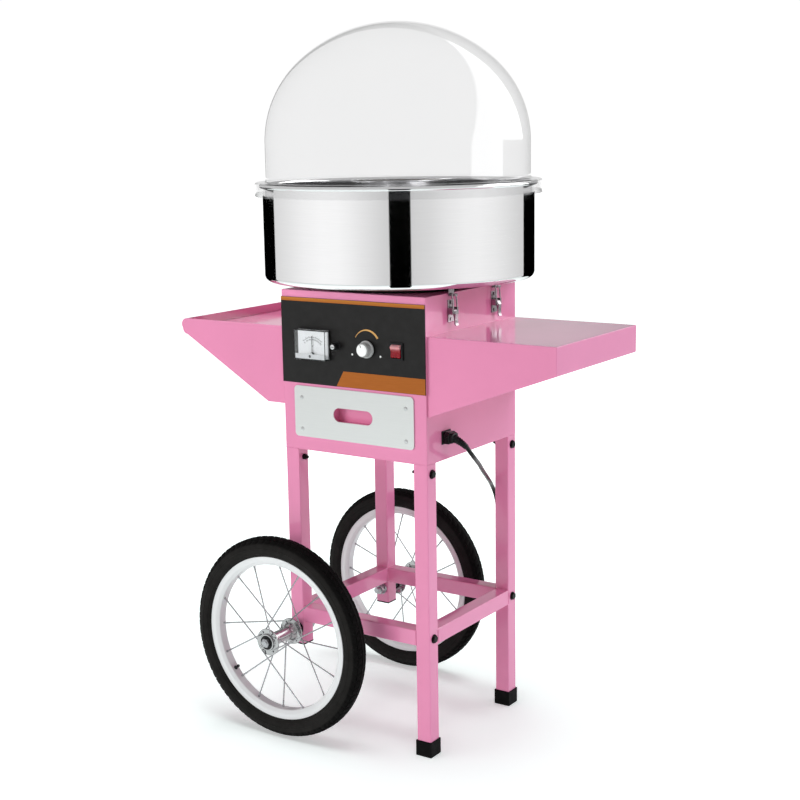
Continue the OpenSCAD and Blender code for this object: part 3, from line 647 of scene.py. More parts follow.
cord_line = catmull(ROUTE, 9) + hank_path()
curve = bpy.data.curves.new("mains_cord", "CURVE")
curve.dimensions = "3D"
spline = curve.splines.new("POLY")
spline.points.add(len(cord_line) - 1)
for q, c in zip(spline.points, cord_line):
    q.co = (c.x * MM, c.y * MM, c.z * MM, 1)
spline.use_smooth = True
curve.bevel_depth = 0.004
curve.bevel_resolution = 6
curve.use_fill_caps = True
curve.materials.append(m_cord)
cord = bpy.data.objects.new("mains_cord", curve)
scene.collection.objects.link(cord)
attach(cord, "cart")
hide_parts("power_cord", "cord_hank")

# moulded connector in the inlet, with a ribbed strain relief
B = Build()
B.add(rbox((144.5, -107.8, 590.2), (163, -86.2, 605.8), 2.5))
body_c = fillet([(-13, -11), (13, -11), (13, 7), (9, 11), (-9, 11), (-13, 7)], 2.6, 4)
M_conn = at(162.2, -97, 598) @ Matrix(((0, 0, 1, 0), (1, 0, 0, 0), (0, 1, 0, 0), (0, 0, 0, 1)))
B.add(prism(body_c, 0, 12.5, 1.6, 3), M_conn)
body_n = fillet([(-10.6, -9.4), (10.6, -9.4), (10.6, 6), (7.6, 9.2), (-7.6, 9.2), (-10.6, 6)], 2.6, 4)
B.add(prism(body_n, 10, 18.4, 2.6, 4), M_conn)
for k in range(4):
    for s in (-1, 1):
        B.add(rbox((3 + 2.3 * k, s * 12.7 - 0.9, -7), (4.3 + 2.3 * k, s * 12.7 + 0.9, 5), 0.4, 2), at(162.2, -97, 598))
p0, p1, p2 = Vector((174, -97, 598)), Vector((190, -96, 593)), Vector(ROUTE[0])
line, rads = [], []
for k in range(8):
    for q, cut in ((0.0, 0.0), (0.62, 0.0), (0.70, 0.8), (0.94, 0.8)):
        u = (k + q) / 8
        line.append(p0 * (1 - u) ** 2 + p1 * (2 * u * (1 - u)) + p2 * u ** 2)
        rads.append(8.2 - 3.1 * u - cut)
line.append(p2)
rads.append(4.6)
B.add(tube(line, rads, 32))
connector = B.make("mains_connector", m_cord, "cart", ["cord_connector"], slot="cord_pvc")

# plug with a tapered, ribbed strain relief, on the end of the hank
B = Build()
M_plug = at(PLUG.x, PLUG.y, 0) @ Matrix.Rotation(radians(120), 4, "Z")
prof = [(0, 161.5)]
for k in range(8):
    z0 = 162 + 28 * k / 8
    rad = 5.2 + 2.8 * (z0 - 162) / 28
    prof += [(rad, z0), (rad, z0 + 2.2), (rad - 0.9, z0 + 2.5), (rad - 0.9, z0 + 3.3)]
prof += [(8, 190.5), (0, 191)]
B.add(lathe(prof, 40, closed=False), M_plug)
shape = fillet([(-11, -9), (-7, -13), (7, -13), (11, -9), (11, 9), (7, 13), (-7, 13), (-11, 9)], 2.5, 4)
B.add(prism(shape, 190, 226, 2.2, 4), M_plug)
for k in range(5):
    for s in (-1, 1):
        B.add(rbox((s * 10.9 - 0.7, -6.5, 197 + 4 * k), (s * 10.9 + 0.7, 6.5, 199 + 4 * k), 0.5, 2), M_plug)
for s in (-1, 1):
    B.add(rbox((-5.1, s * 6.4 - 0.8, 224), (1.2, s * 6.4 + 0.8, 243), 0.35, 2), M_plug, 1)
B.add(lathe([(0, 224), (2.4, 224), (2.4, 241.5), (1.9, 244.2), (1.0, 245), (0, 245)], 28, closed=False), M_plug @ at(6, 0, 0), 1)
plug = B.make("mains_plug_moulded", [m_cord, m_chrome], "cart", ["mains_plug"], slot="cord_pvc")

# hook-and-loop tie round the hank, and a strap that holds the plug to a pad on the leg's back
B = Build()
loop = fillet([(-28.1, -12.1), (28.1, -12.1), (28.1, 12.1), (-28.1, 12.1)], 4.2, 6)
B.add(band([tuple(hank_point(x, l, 88)) for x, l in loop], 16, 1.2, (0, 0, 1)))
B.add(rbox((-10, 12.9, 80.5), (14, 14.6, 95.5), 0.6, 2), Matrix(((HX.x, HY.x, 0, HC.x), (HX.y, HY.y, 0, HC.y), (0, 0, 1, 0), (0, 0, 0, 1))))
tie = B.make("cord_tie", plastic("hook_and_loop", (0.014, 0.014, 0.016), 0.8, 0.6, 0.4, 1600), "cart")
B = Build()
strap = fillet([(-11.2, -13.2), (11.2, -13.2), (11.2, 13.2), (-11.2, 13.2)], 4.5, 5)
B.add(band([tuple(M_plug @ Vector((x, y, 208))) for x, y in strap], 9, 1.1, (0, 0, 1)))
B.add(rbox((134, 160.1, 200), (152, 163, 216), 0.8, 2))
B.add(rbox((137.5, 162.5, 203.5), (143.5, 171.8, 212.5), 0.7, 2))
strap = B.make("plug_strap", m_blackplastic, "cart")

inlet = soft("power_inlet", m_blackplastic, [(lambda m, w: m.x > 159.9, 0.9, 3)])

# ------------------------------------------------------------------ wheels
WX, WY, WZ = -145.0, 215.6, 197.0


def wheel_matrix(s):
    return at(WX, s * WY, WZ) @ Matrix.Rotation(radians(90 if s < 0 else -90), 4, "X")


def tyre_shape():
    """Tyre with a centre rib, slanted blocks, shoulder lugs and sidewall rings."""
    Rc, rs = 175.5, 21.5
    blocks = 78
    nt = blocks * 8
    edge = [0, 3, 6, 8, 9.5, 12.5, 14, 17, 20, 24, 28, 32, 34, 35.5, 38.5, 40, 43, 46, 50, 54, 57, 59.5, 61, 64,
            68, 72, 76, 80, 84, 86, 88, 90, 92, 96, 100, 104, 108, 111, 113, 115, 117, 119, 122, 126, 130, 134, 137, 139.5]
    phi = [-q for q in reversed(edge[1:])] + edge
    th = np.arange(nt) * 2 * pi / nt
    rows = []
    for q in phi:
        f = abs(q)
        sg = 1 if q >= 0 else -1
        d = np.zeros(nt)
        ph = (th * blocks / (2 * pi))
        if 9 <= f <= 13:
            d -= 1.5
        elif 13 < f <= 34.2:
            u = (ph + sg * (f - 14) * 0.022) % 1.0
            d = np.where(u < 0.24, -1.4, 0.0)
        elif 34.2 < f <= 39:
            d -= 1.3
        elif 39 < f <= 60:
            u = (ph + 0.5 - sg * 0.0 - (f - 40) * 0.012) % 1.0
            d = np.where(u < 0.30, -1.2, -0.1)
        else:
            d -= 0.6
            for c0 in (88, 115):
                if abs(f - c0) < 1.6:
                    d += 0.7
        rad = rs + d
        rows.append((Rc + rad * cos(radians(q)), rad * sin(radians(q))))
    v = []
    for R_, z_ in rows:
        R_ = np.broadcast_to(R_, (nt,))
        z_ = np.broadcast_to(z_, (nt,))
        v += list(zip(R_ * np.cos(th), R_ * np.sin(th), z_))
    inner = [(Rc + 17.6 * cos(radians(q)), 17.6 * sin(radians(q))) for q in np.linspace(136, -136, 22)]
    for R_, z_ in inner:
        v += list(zip(R_ * np.cos(th), R_ * np.sin(th), np.full(nt, z_)))
    m = len(rows) + len(inner)
    f = []
    for i in range(m):
        j = (i + 1) % m
        for k in range(nt):
            l = (k + 1) % nt
            f.append((i * nt + k, i * nt + l, j * nt + l, j * nt + k))
    return [tuple(map(float, q)) for q in v], f


TYRE = tyre_shape()
RIM = lathe(fillet([(143, -9), (143, 9), (150, 13), (157, 13.6), (159.6, 15), (160.2, 13.6), (158, 11.6), (151, 11), (146, 8),
                    (146, -8), (151, -11), (158, -11.6), (160.2, -13.6), (159.6, -15), (157, -13.6), (150, -13)],
                   [3, 3, 3, 1.4, 0.6, 0.6, 1, 1.5, 1.5, 1.5, 1.5, 1, 0.6, 0.6, 1.4, 3], 4), 192)
HUB = lathe(fillet([(6.05, -38), (13.5, -38), (13.5, -41), (16, -41), (16.5, -37), (26, -37), (26, -34), (17, -34), (12.5, -24),
                    (12.5, 24), (17, 34), (26, 34), (26, 37), (16.5, 37), (16, 41), (13.5, 41), (13.5, 38), (6.05, 38)],
                   [0, 0.4, 0.6, 0.8, 0.8, 1.0, 1.0, 4, 8, 8, 4, 1.0, 1.0, 0.8, 0.8, 0.6, 0.4, 0], 5), 96)


def spokes_shape():
    B = Build()
    n = 16
    for s in (-1, 1):
        for j in range(n // 2):
            aa = 720 / n * j + (360 / n if s > 0 else 0)
            bb = aa + (-56.25 if j % 2 == 0 else 56.25)
            h, tip = (41.0, 33.0) if j % 2 == 0 else (32.7, 38.0)
            P = Vector((20.5 * cos(radians(bb)), 20.5 * sin(radians(bb)), s * h))
            Q = Vector((142.6 * cos(radians(aa)), 142.6 * sin(radians(aa)), s * 3.5))
            d = (Q - P).normalized()
            L = (Q - P).length
            # the wire, bent round through the flange to its head
            head = Vector((P.x, P.y, s * tip))
            way = (head - P).normalized()
            B.add(tube([head, P + way * 1.4, P + way * 0.4 + d * 0.5, P + d * 1.6, P + d * 5, P + d * (L - 11)], 1.3, 10))
            B.add(rod(2.2, 1.2, 16, 0.3), at(*(head - Vector((0, 0, 0.6)))))
            # nipple
            B.add(lathe([(0, L - 12.5), (1.2, L - 12.5), (1.6, L - 11.5), (1.75, L - 3), (2.3, L - 1.8), (2.3, L + 0.8), (0, L + 0.8)], 14, closed=False),
                  at(*P) @ along(d), 0)
    return B.v, B.f


SPOKES = spokes_shape()
for s, side in ((-1, "front"), (1, "back")):
    M = wheel_matrix(s)
    body = "wheel_" + side
    Build().add(TYRE, M).make("tyre_%s_treaded" % side, m_tyre, body, ["tyre_" + side], angle=32, slot="tyre_rubber")
    Build().add(RIM, M).make("rim_%s_rolled" % side, m_white, body, ["rim_" + side], slot="white_paint")
    Build().add(SPOKES, M).make("spokes_%s_laced" % side, m_spoke, body, ["spokes_" + side], slot="spoke_steel")
    B = Build().add(HUB, M)
    for e in (-1, 1):
        B.add(lathe(fillet([(7.6, 38.05), (13.3, 38.05), (13.3, 39.9), (12.6, 40.5), (9.0, 40.2), (7.6, 39.6)], 0.3, 3), 48),
              M @ (Matrix.Identity(4) if e > 0 else Matrix.Scale(-1, 4, (0, 0, 1))), 1)
    B.make("hub_%s_turned" % side, [m_hub, m_blackplastic], body, ["hub_" + side], slot="cast_aluminium")
    # valve with its cap, standing in on the rim
    V = M @ Matrix.Rotation(radians(-143 if s < 0 else 100), 4, "Z") @ at(120, 0, 0) @ Matrix.Rotation(radians(90), 4, "Y")
    B = Build()
    B.add(lathe([(0, 12.6), (2.3, 12.6), (2.6, 13.2), (2.6, 18.4), (2.1, 18.8), (2.1, 19.8), (3.0, 20.6), (4.2, 22.4), (4.2, 23.5), (0, 23.5)], 24, closed=False), V)
    for k in range(12):
        B.add(rbox((2.4, -0.28, 13.6), (2.85, 0.28, 18.0), 0.1, 1), V @ Matrix.Rotation(k * pi / 6, 4, "Z"))
    B.make("valve_" + side, m_blackplastic, body)

# axle bolts with nuts, washers and spacers
B = Build()
for s in (-1, 1):
    A = at(-145, 0, 197) @ Matrix.Rotation(radians(90 if s < 0 else -90), 4, "X")
    thread = [(0, 107.8)]
    zz = 107.8
    while zz < 116:
        thread += [(5.5, zz), (6.0, zz + 0.6)]
        zz += 1.2
    thread += [(6, 117), (6, 262)]
    thread += [(5.5, 262.4), (6.0, 262.8), (5.4, 263.2), (4.9, 263.6), (0, 263.6)]
    B.add(lathe(thread, 32, closed=False), A)
    B.add(hexnut(9.4, 7.9, 1.0, 254.2), A)
    B.add(ring(6, 10, 14.2, 40, 0.5, 160), A)
    B.add(ring(6, 12, 5, 40, 0.4, 125), A)
    B.add(hexnut(10.5, 9, 1.0, 116), A)
    # black washer against the leg: a washer, made black also as painted shade in the gap between hub and leg
    B.add(ring(9.5, 13.5, 1.6, 40, 0.4, 160.05), A, 1)
B.make("axles_threaded", [m_zinc, m_boltblack], "cart", ["axles"], slot="zinc_steel")

# ------------------------------------------------------------------ stand
TUBE_R = 2.4


def outer_leg(m, w):
    on_x = min(abs(abs(m.x) - q) for q in (130, 160)) < 0.05
    on_y = min(abs(abs(m.y) - q) for q in (130, 160)) < 0.05
    on_z = min(abs(m.z - q) for q in (213, 243)) < 0.05
    return w.length > 10 and ((abs(w.z) > 5 and on_x and on_y) or (abs(w.y) > 5 and on_x and on_z))


soft("left_side_frame", m_pink, [(outer_leg, TUBE_R, 4)])
soft("right_side_frame", m_pink, [(outer_leg, TUBE_R, 4)])
soft("cross_rails", m_pink, [(lambda m, w: abs(w.x) > 100 and min(abs(abs(m.y) - q) for q in (130, 160)) < 0.05, TUBE_R, 4)])


# weld beads where the side rails meet the legs
def weld(a0, a1, nrm, seed):
    """A small rippled bead between two points; nrm is not used."""
    a0, a1, nrm = Vector(a0), Vector(a1), Vector(nrm).normalized()
    d = a1 - a0
    n = max(6, int(d.length / 1.1))
    pts = [a0 + d * (k / n) for k in range(n + 1)]
    rad = [1.25 + 0.28 * sin(k * 2.1 + seed) + (-0.5 if k in (0, n) else 0) for k in range(n + 1)]
    return tube(pts, rad, 10)


B = Build()
for sx in (-1, 1):
    for sy in (-1, 1):
        y = sy * 130.3
        for z in (213.0, 243.0):
            B.add(weld((sx * 145 - 12.5, y, z), (sx * 145 + 12.5, y, z), (0, -sy, 0), sx + sy + z))
        for x in (130.0, 160.0):
            B.add(weld((sx * x, y, 215.5), (sx * x, y, 240.5), (0, -sy, 0), x + sy))
B.make("weld_beads", m_pink, "cart")

# rubber feet and end plugs
feet = soft("leg_caps", m_rubber, [(lambda m, w: max(abs(abs(m.x) - 145), abs(abs(m.y) - 145)) > 14.9 and abs(m.x) < 163, 1.5, 4)])

# frame bolts: hex heads with washers outside, nuts inside
B = Build()
for sx in (-1, 1):
    for sy in (-1, 1):
        for z, tip, nut in ((538, 119, True), (228, 118, False)):
            M = at(0, sy * 145, z) @ along((sx, 0, 0))
            spin = Matrix.Rotation(0.3 + sx * 0.4 + sy * 0.7 + z * 0.01, 4, "Z")
            B.add(rod(3.0, 42, 20, 0.4, tip), M)
            B.add(ring(3.2, 8.4, 1.1, 36, 0.3, 160.0), M)
            B.add(lathe([(0, 160.9), (7.0, 160.9), (7.5, 161.3), (7.5, 164.0), (6.6, 165), (0, 165)], 6, closed=False), M @ spin)
            if nut:
                B.add(hexnut(6, 6, 0.8, 124), M @ spin)
B.make("frame_bolts_hex", m_boltblack, "cart", ["frame_bolts"], slot="black_steel")

# ------------------------------------------------------------------ cabinet
def box_edge(m, w):
    fx, fy = abs(abs(m.x) - 160) < 0.05, abs(abs(m.y) - 160) < 0.05
    top = abs(m.z - 858) < 0.05
    return w.length > 60 and (fx + fy + top) >= 2


soft("body_shell", m_pink, [(box_edge, 1.8, 4)])
soft("bottom_plate", m_pink, [(lambda m, w: w.length > 200, 0.6, 3)])
soft("tray_right", m_pink, [(lambda m, w: (m.x > 416.2 or abs(m.z - 788) < 0.1 or abs(abs(m.y) - 156) < 0.1) and w.length > 30 and m.x > 162, 1.3, 4)])
left_tray = soft("tray_left", m_pink, [(lambda m, w: abs(abs(m.y) - 156) < 0.1 and w.length > 3 and m.x < -162, 1.0, 3),
                                       (lambda m, w: m.z > 787.9 and w.length > 100 and m.x > -404 and m.x < -162, 0.5, 2)], angle=25)

# back panel with pressed louvres over its slots
soft("back_panel", m_pink, [(lambda m, w: w.length > 3.5, 0.4, 2)])
B = Build()
for sx in (-1, 1):
    for k in range(7):
        zc = 858 - 130 + 12 * k
        cx = sx * 62
        v, f = [], []
        nx, na = 16, 8
        for i in range(nx + 1):
            x = -38 + 76 * i / nx
            e = min(1.0, (38 - abs(x)) / 7)
            e = math.sqrt(max(0.0, 1 - (1 - e) ** 2))
            for shell in (0, 1):
                for q in range(na + 1):
                    g = pi / 2 * q / na
                    hh = (6.6 - 0.9 * shell) * max(e, 0.05)
                    dd = (3.9 - 0.9 * shell) * max(e, 0.05)
                    v.append((cx + x, 159.75 + dd * cos(g), zc - 0.6 + hh * sin(g)))
        w_ = 2 * (na + 1)
        for i in range(nx):
            for q in range(na):
                f.append((i * w_ + q, i * w_ + q + 1, (i + 1) * w_ + q + 1, (i + 1) * w_ + q))
                o = na + 1
                f.append((i * w_ + o + q, (i + 1) * w_ + o + q, (i + 1) * w_ + o + q + 1, i * w_ + o + q + 1))
            f.append((i * w_, (i + 1) * w_, (i + 1) * w_ + na + 1, i * w_ + na + 1))
            f.append((i * w_ + na, i * w_ + 2 * na + 1, (i + 1) * w_ + 2 * na + 1, (i + 1) * w_ + na))
        for i in (0, nx):
            f.append(tuple([i * w_ + q for q in range(na + 1)] + [i * w_ + na + 1 + q for q in range(na, -1, -1)]))
        B.add((v, f))
B.make("back_louvres", m_pink, "cart")


def pan_head(r, h):
    """A pan head; its cross recess is not cut, cross_mark paints its shade on top."""
    return lathe([(0, 0), (r, 0), (r, h * 0.35), (r * 0.86, h * 0.75), (r * 0.5, h * 0.98), (r * 0.22, h), (0, h)], 32, closed=False)


# a flat dark cross on the head: painted shade where a cross recess would be
def cross_mark(r, h):
    w = r * 0.16
    l = r * 0.55
    return prism([(-w, -l), (w, -l), (w, -w), (l, -w), (l, w), (w, w), (w, l), (-w, l), (-w, w), (-l, w), (-l, -w), (-w, -w)], h - 0.05, h + 0.05)


# flat dark marks painted as the shade in screw recesses and slots that are not cut
m_recess_shade = plastic("painted_recess_shade", (0.02, 0.02, 0.02), 0.6, 0.05)
B = Build()
for sx in (-1, 1):
    for z in (578, 708, 832):
        M = at(sx * 152, 159.7, z) @ along((0, 1, 0)) @ Matrix.Rotation(0.5 + z, 4, "Z")
        B.add(pan_head(4, 1.9), M)
        B.add(cross_mark(4, 1.9), M, 1)
        B.add(rod(1.7, 8, 16, 0.2, -8), M)
for sy in (-1, 1):
    for sx, dzs in ((1, (20, 100)), (-1, (30, 100))):
        for dz in dzs:
            M = at(0, sy * 110, 788 - dz) @ along((sx, 0, 0))
            B.add(rod(5, 3, 28, 0.6, 155.5), M)
            B.add(rod(2.5, 11, 20, 0.3, 157), M)
            B.add(hexnut(4.6, 4, 0.6, 161.4), M)
B.make("panel_screws_cross", [m_zinc, m_recess_shade], "cart", ["panel_screws"], slot="zinc_steel")

# ------------------------------------------------------------------ control panel
FY = -162.0
TOFRONT = Matrix(((1, 0, 0, 0), (0, 0, -1, 0), (0, 1, 0, 0), (0, 0, 0, 1)))  # X-Y outline to X-Z, drawn towards the front


def front(shape, y):
    return at(0, y, 0) @ TOFRONT


soft("control_panel", m_panel, [(lambda m, w: w.length > 100 or True, 0.3, 2)])

B = Build()
B.add(prism([(-159.6, 838.0), (159.6, 838.0), (159.6, 844.6), (-159.6, 844.6)], 0, 0.12), front(None, FY))
B.add(prism([(-35.2, 684.4), (159.6, 684.4), (159.6, 713.4), (-18.8, 713.4)], 0, 0.12), front(None, FY))
B.make("panel_orange_bands", m_orange, "cart")

# dial arc round the knob: a wedge that widens clockwise
KX, KZ = 36.0, 758.5
outer, inner_ = [], []
n = 40
for k in range(n + 1):
    t = k / n
    g = radians(148 - (148 - 34) * t)
    base_r = 31.5
    width = 0.8 + 3.4 * t ** 0.9
    cx, cz = KX - 1.5, KZ + 3.0
    outer.append((cx + (base_r + width / 2) * cos(g) * 0.93, cz + (base_r + width / 2) * sin(g)))
    inner_.append((cx + (base_r - width / 2) * cos(g) * 0.93, cz + (base_r - width / 2) * sin(g)))
B = Build().add(prism(outer + inner_[::-1], 0, 0.12), front(None, FY))
B.make("knob_scale_arc", m_scale, "cart")
B = Build()
for mx, mz in ((2, 746.5), (64.3, 746.7)):
    B.add(prism([(mx + 1.9 * cos(q * pi / 12), mz + 1.9 * sin(q * pi / 12)) for q in range(24)], 0, 0.12), front(None, FY))
B.make("knob_scale_dots", m_mark, "cart")

# temperature knob: fluted grip, spun cap and a pointer line
B = Build()
M = at(KX, FY - 2.6, KZ) @ TOFRONT
flutes = []
for k in range(144):
    g = 2 * pi * k / 144
    flutes.append(0.28 * (0.5 + 0.5 * cos(g * 36)))
v, f = lathe(fillet([(0.01, 0), (15.6, 0), (16, 0.5), (16, 2.6), (15.2, 3.4), (13.4, 4.2), (12.9, 13.6), (12.2, 14.9), (11.0, 15.4), (0.01, 15.4)], [0, 0.2, 0.2, 0.6, 0.6, 0.8, 0.8, 0.6, 0.4, 0], 3), 144, closed=False)
vv = []
for x, y, z in v:
    rad = math.hypot(x, y)
    if 4.4 < z < 14.0 and rad > 11.5:
        k = int(round(math.atan2(y, x) / (2 * pi) * 144)) % 144
        q = 1 - flutes[k] / rad
        vv.append((x * q, y * q, z))
    else:
        vv.append((x, y, z))
B.add((vv, f), M, 0)
B.add(lathe([(0, 15.2), (10.9, 15.2), (10.9, 15.9), (10.3, 16.4), (3, 16.4), (2.6, 16.2), (0, 16.2)], 72, closed=False), M, 1)
B.add(rbox((-0.7, 5.2, 15.9), (0.7, 10.2, 16.6), 0.2, 2), M @ Matrix.Rotation(radians(18), 4, "Z"), 2)
B.add(rod(3.0, 27, 24, 0.3, -18), at(KX, FY - 2.6 + 0, KZ) @ TOFRONT, 3)
B.make("temperature_knob_fluted", [m_knobgrip, m_knobcap, m_dialblack, m_steel], "knob", ["temperature_knob"], slot="knob_plastic")

# fuse holder: round flange and a knurled cap, whose slot is a dark bar of painted shade
B = Build()
M = at(-32, FY, 759.5) @ TOFRONT
B.add(lathe(fillet([(4.0, -34), (6, -34), (6, 0), (8.5, 0), (8.5, 1.7), (7.6, 2.5), (4.0, 2.5)], [0, 0.3, 0, 0.3, 0.5, 0.4, 0], 3), 48), M)
B.make("fuse_holder_moulded", m_blackplastic, "cart", ["fuse_holder"], slot="black_plastic")
B = Build()
v, f = lathe(fillet([(0.01, -30), (3.9, -30), (3.9, 2.8), (6.3, 2.8), (6.6, 3.4), (6.6, 13.2), (5.4, 15), (0.01, 15)], [0, 0.4, 0, 0.3, 0.3, 0.8, 0.6, 0], 3), 96, closed=False)
v = [(x * (1 - 0.035 * (k % 96 % 4 > 1) * (3.3 < z < 13.3)), y * (1 - 0.035 * (k % 96 % 4 > 1) * (3.3 < z < 13.3)), z) for k, (x, y, z) in enumerate(v)]
B.add((v, f), M)
B.add(lathe([(0, 14.8), (4.4, 14.8), (4.4, 15.05), (4.0, 15.3), (0, 15.3)], 40, closed=False), M, 2)
# a raised dark bar across the cap: painted shade where its slot would be
B.add(rbox((-3.6, -0.6, 15.0), (3.6, 0.6, 15.36), 0.1, 1), M, 1)
B.make("fuse_cap_knurled", [m_blackplastic, m_recess_shade, m_chrome], "fuse_carrier", ["fuse_cap"], slot="black_plastic")

# voltmeter: case, dial with scale and numbers, needle, clear cover with a frosted band
soft("voltmeter_case", m_blackplastic, [(lambda m, w: m.y < -161.9, 0.6, 3)])
lens = soft("voltmeter_lens", m_lens, [(lambda m, w: m.y < -177.5 or (w.length < 13 and abs(w.y) > 8), 0.9, 4)])
lens.visible_shadow = False
soft("voltmeter_dial", m_dial, [(None, 0.15, 2)])
soft("voltmeter_needle", m_needle, [(lambda m, w: w.length > 2, 0.1, 1)])
MX, NZ = -84.0, 742.0
B = Build().add(prism(fillet([(MX - 33.9, 733.6), (MX + 33.9, 733.6), (MX + 33.9, 785.4), (MX - 33.9, 785.4)], 1.5, 3), 4.02, 4.5, 0.1, 1), front(None, FY))
B.make("voltmeter_backing", m_dial, "cart")
B = Build()
DY = -167.0


def dial_prism(outline, mat=0):
    B.add(prism(outline, 0, 0.10), front(None, DY), mat)


def arc_strip(r0, r1, g0, g1, n=48):
    o = [(MX + r1 * sin(radians(g0 + (g1 - g0) * k / n)), NZ + r1 * cos(radians(g0 + (g1 - g0) * k / n))) for k in range(n + 1)]
    i = [(MX + r0 * sin(radians(g0 + (g1 - g0) * k / n)), NZ + r0 * cos(radians(g0 + (g1 - g0) * k / n))) for k in range(n + 1)]
    return i + o[::-1]


dial_prism(arc_strip(30.4, 30.8, -42, 42))
for k in range(31):
    g = -42 + 84 * k / 30
    big = k % 5 == 0
    dial_prism(arc_strip(30.8, 33.6 if big else 32.2, g - (0.42 if big else 0.25), g + (0.42 if big else 0.25), 1))
ob_dial = B.make("voltmeter_scale", m_dialblack, "cart")


def digits(text, x, z, size, y, name, mat, body="cart", turn=0.0):
    """Plain figures as thin raised print."""
    fc = bpy.data.curves.new(name, "FONT")
    fc.body = text
    fc.size = size * MM
    fc.align_x, fc.align_y = "CENTER", "CENTER"
    fc.extrude = 0.00005
    fc.resolution_u = 3
    tmp = bpy.data.objects.new(name + "_text", fc)
    scene.collection.objects.link(tmp)
    bpy.context.view_layer.update()
    dg = bpy.context.evaluated_depsgraph_get()
    me = bpy.data.meshes.new_from_object(tmp.evaluated_get(dg))
    bpy.data.objects.remove(tmp)
    me.transform(at(x * MM, y * MM, z * MM) @ TOFRONT @ Matrix.Rotation(turn, 4, "Z"))
    bm = bmesh.new()
    bm.from_mesh(me)
    bmesh.ops.remove_doubles(bm, verts=bm.verts, dist=1e-7)
    bm.to_mesh(me)
    bm.free()
    me.materials.clear()
    me.materials.append(mat)
    ob = bpy.data.objects.new(name, me)
    scene.collection.objects.link(ob)
    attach(ob, body)
    return ob


for k, tx in enumerate(("0", "50", "100", "150", "200", "250", "300")):
    g = radians(-42 + 14 * k)
    digits(tx, MX + 26.6 * sin(g), NZ + 26.6 * cos(g), 4.2, DY - 0.05, "dial_figure_%d" % k, m_dialblack, turn=-g)
digits("V", MX, NZ + 14.5, 6.5, DY - 0.05, "dial_figure_unit", m_dialblack)

# frosted band along the bottom of the cover, with the zero screw
B = Build()
B.add(prism(fillet([(MX - 33.6, 733.7), (MX + 33.6, 733.7), (MX + 33.6, 742.6), (MX + 5.2, 742.6), (MX + 4.2, 744.6), (MX - 4.2, 744.6), (MX - 5.2, 742.6), (MX - 33.6, 742.6)], 0.5, 2), 12.4, 14.3, 0.3, 2), front(None, FY))
B.add(lathe([(0, 12.0), (2.6, 12.0), (2.6, 14.33), (0, 14.33)], 28, closed=False), at(MX, FY, 738.4) @ TOFRONT, 1)
# a raised dark bar across the zero screw: painted shade where its slot would be
B.add(rbox((-2.1, -0.35, 14.2), (2.1, 0.35, 14.38), 0.05, 1), at(MX, FY, 738.4) @ TOFRONT @ Matrix.Rotation(0.6, 4, "Z"), 2)
B.make("voltmeter_band", [m_frost, m_grey, m_recess_shade], "cart")

# rocker switch
soft("switch_housing", m_blackplastic, [(lambda m, w: m.y < -161.9, 0.7, 3)])
soft("switch_rocker", m_red, [(lambda m, w: m.y < -162.5, 0.55, 3)], angle=14)
soft("regulator", m_grey, [(None, 0.3, 2)])

# ------------------------------------------------------------------ drawer
soft("drawer_box", m_pink, [(lambda m, w: w.length > 30, 0.45, 2)])
soft("drawer_front", m_drawer, [(lambda m, w: m.y < -161.9, 0.35, 3)])
soft("drawer_runners", m_zinc, [(None, 0.3, 2)])
B = Build()
for sx in (-1, 1):
    for dz in (-34, 26):
        M = at(sx * 117, -162.25, 630.5 + dz) @ TOFRONT
        B.add(lathe([(0, 0), (4, 0), (3.9, 0.35), (3.2, 0.95), (2.0, 1.32), (1.0, 1.4), (0.8, 1.1), (0, 1.05)], 36, closed=False), M)
        B.add(rod(2, 4, 20, 0.2, -3.8), M)
B.make("drawer_rivets_domed", m_rivet, "drawer", ["drawer_rivets"], slot="chrome")

# ------------------------------------------------------------------ bowl and dome
t = 1.5
R0, zb, rc = 254.0, 873.0, 11.0
pts = [(24, zb)]
pts += [(R0 - rc + rc * cos(g), zb + rc + rc * sin(g)) for g in np.linspace(-pi / 2, 0, 20)]
pts += [(R0, 1037), (R0, 1042.6)]
pts += [(256 + 4 * cos(g), 1048 + 4 * sin(g)) for g in np.linspace(radians(-118), radians(205), 34)]
pts += [(R0 - t, 1041)]
pts += [(R0 - rc + (rc - t) * cos(g), zb + rc + (rc - t) * sin(g)) for g in np.linspace(0, -pi / 2, 20)]
pts += [(26.5, zb + t), (25.5, zb + t + 1), (25.5, 904.2), (25.1, 905), (24.4, 905), (24, 904.4)]
Build().add(lathe(pts, 288)).make("bowl_spun", m_bowl, "cart", ["bowl"], slot="polished_steel", angle=50)

dz, dr, sr = 1052.3, 247.0, 267.5
wall_h, top_h, kr = 72.0, 290.0, 200.0
rise = top_h - wall_h
cr = ((dr - kr) ** 2 + rise ** 2 - kr ** 2) / (2 * (rise - kr))
turn = math.atan2(cr - rise, dr - kr)


def dome_arc(off):
    """Wall top, shoulder and crown of the dome, moved inwards by off."""
    q = [(dr - kr + (kr - off) * cos(g), dz + wall_h + (kr - off) * sin(g)) for g in np.linspace(0, turn, 44)]
    q += [((cr - off) * cos(g), dz + top_h - cr + (cr - off) * sin(g)) for g in np.linspace(turn, pi / 2, 40)][1:-1]
    return q + [(0, dz + top_h - off)]


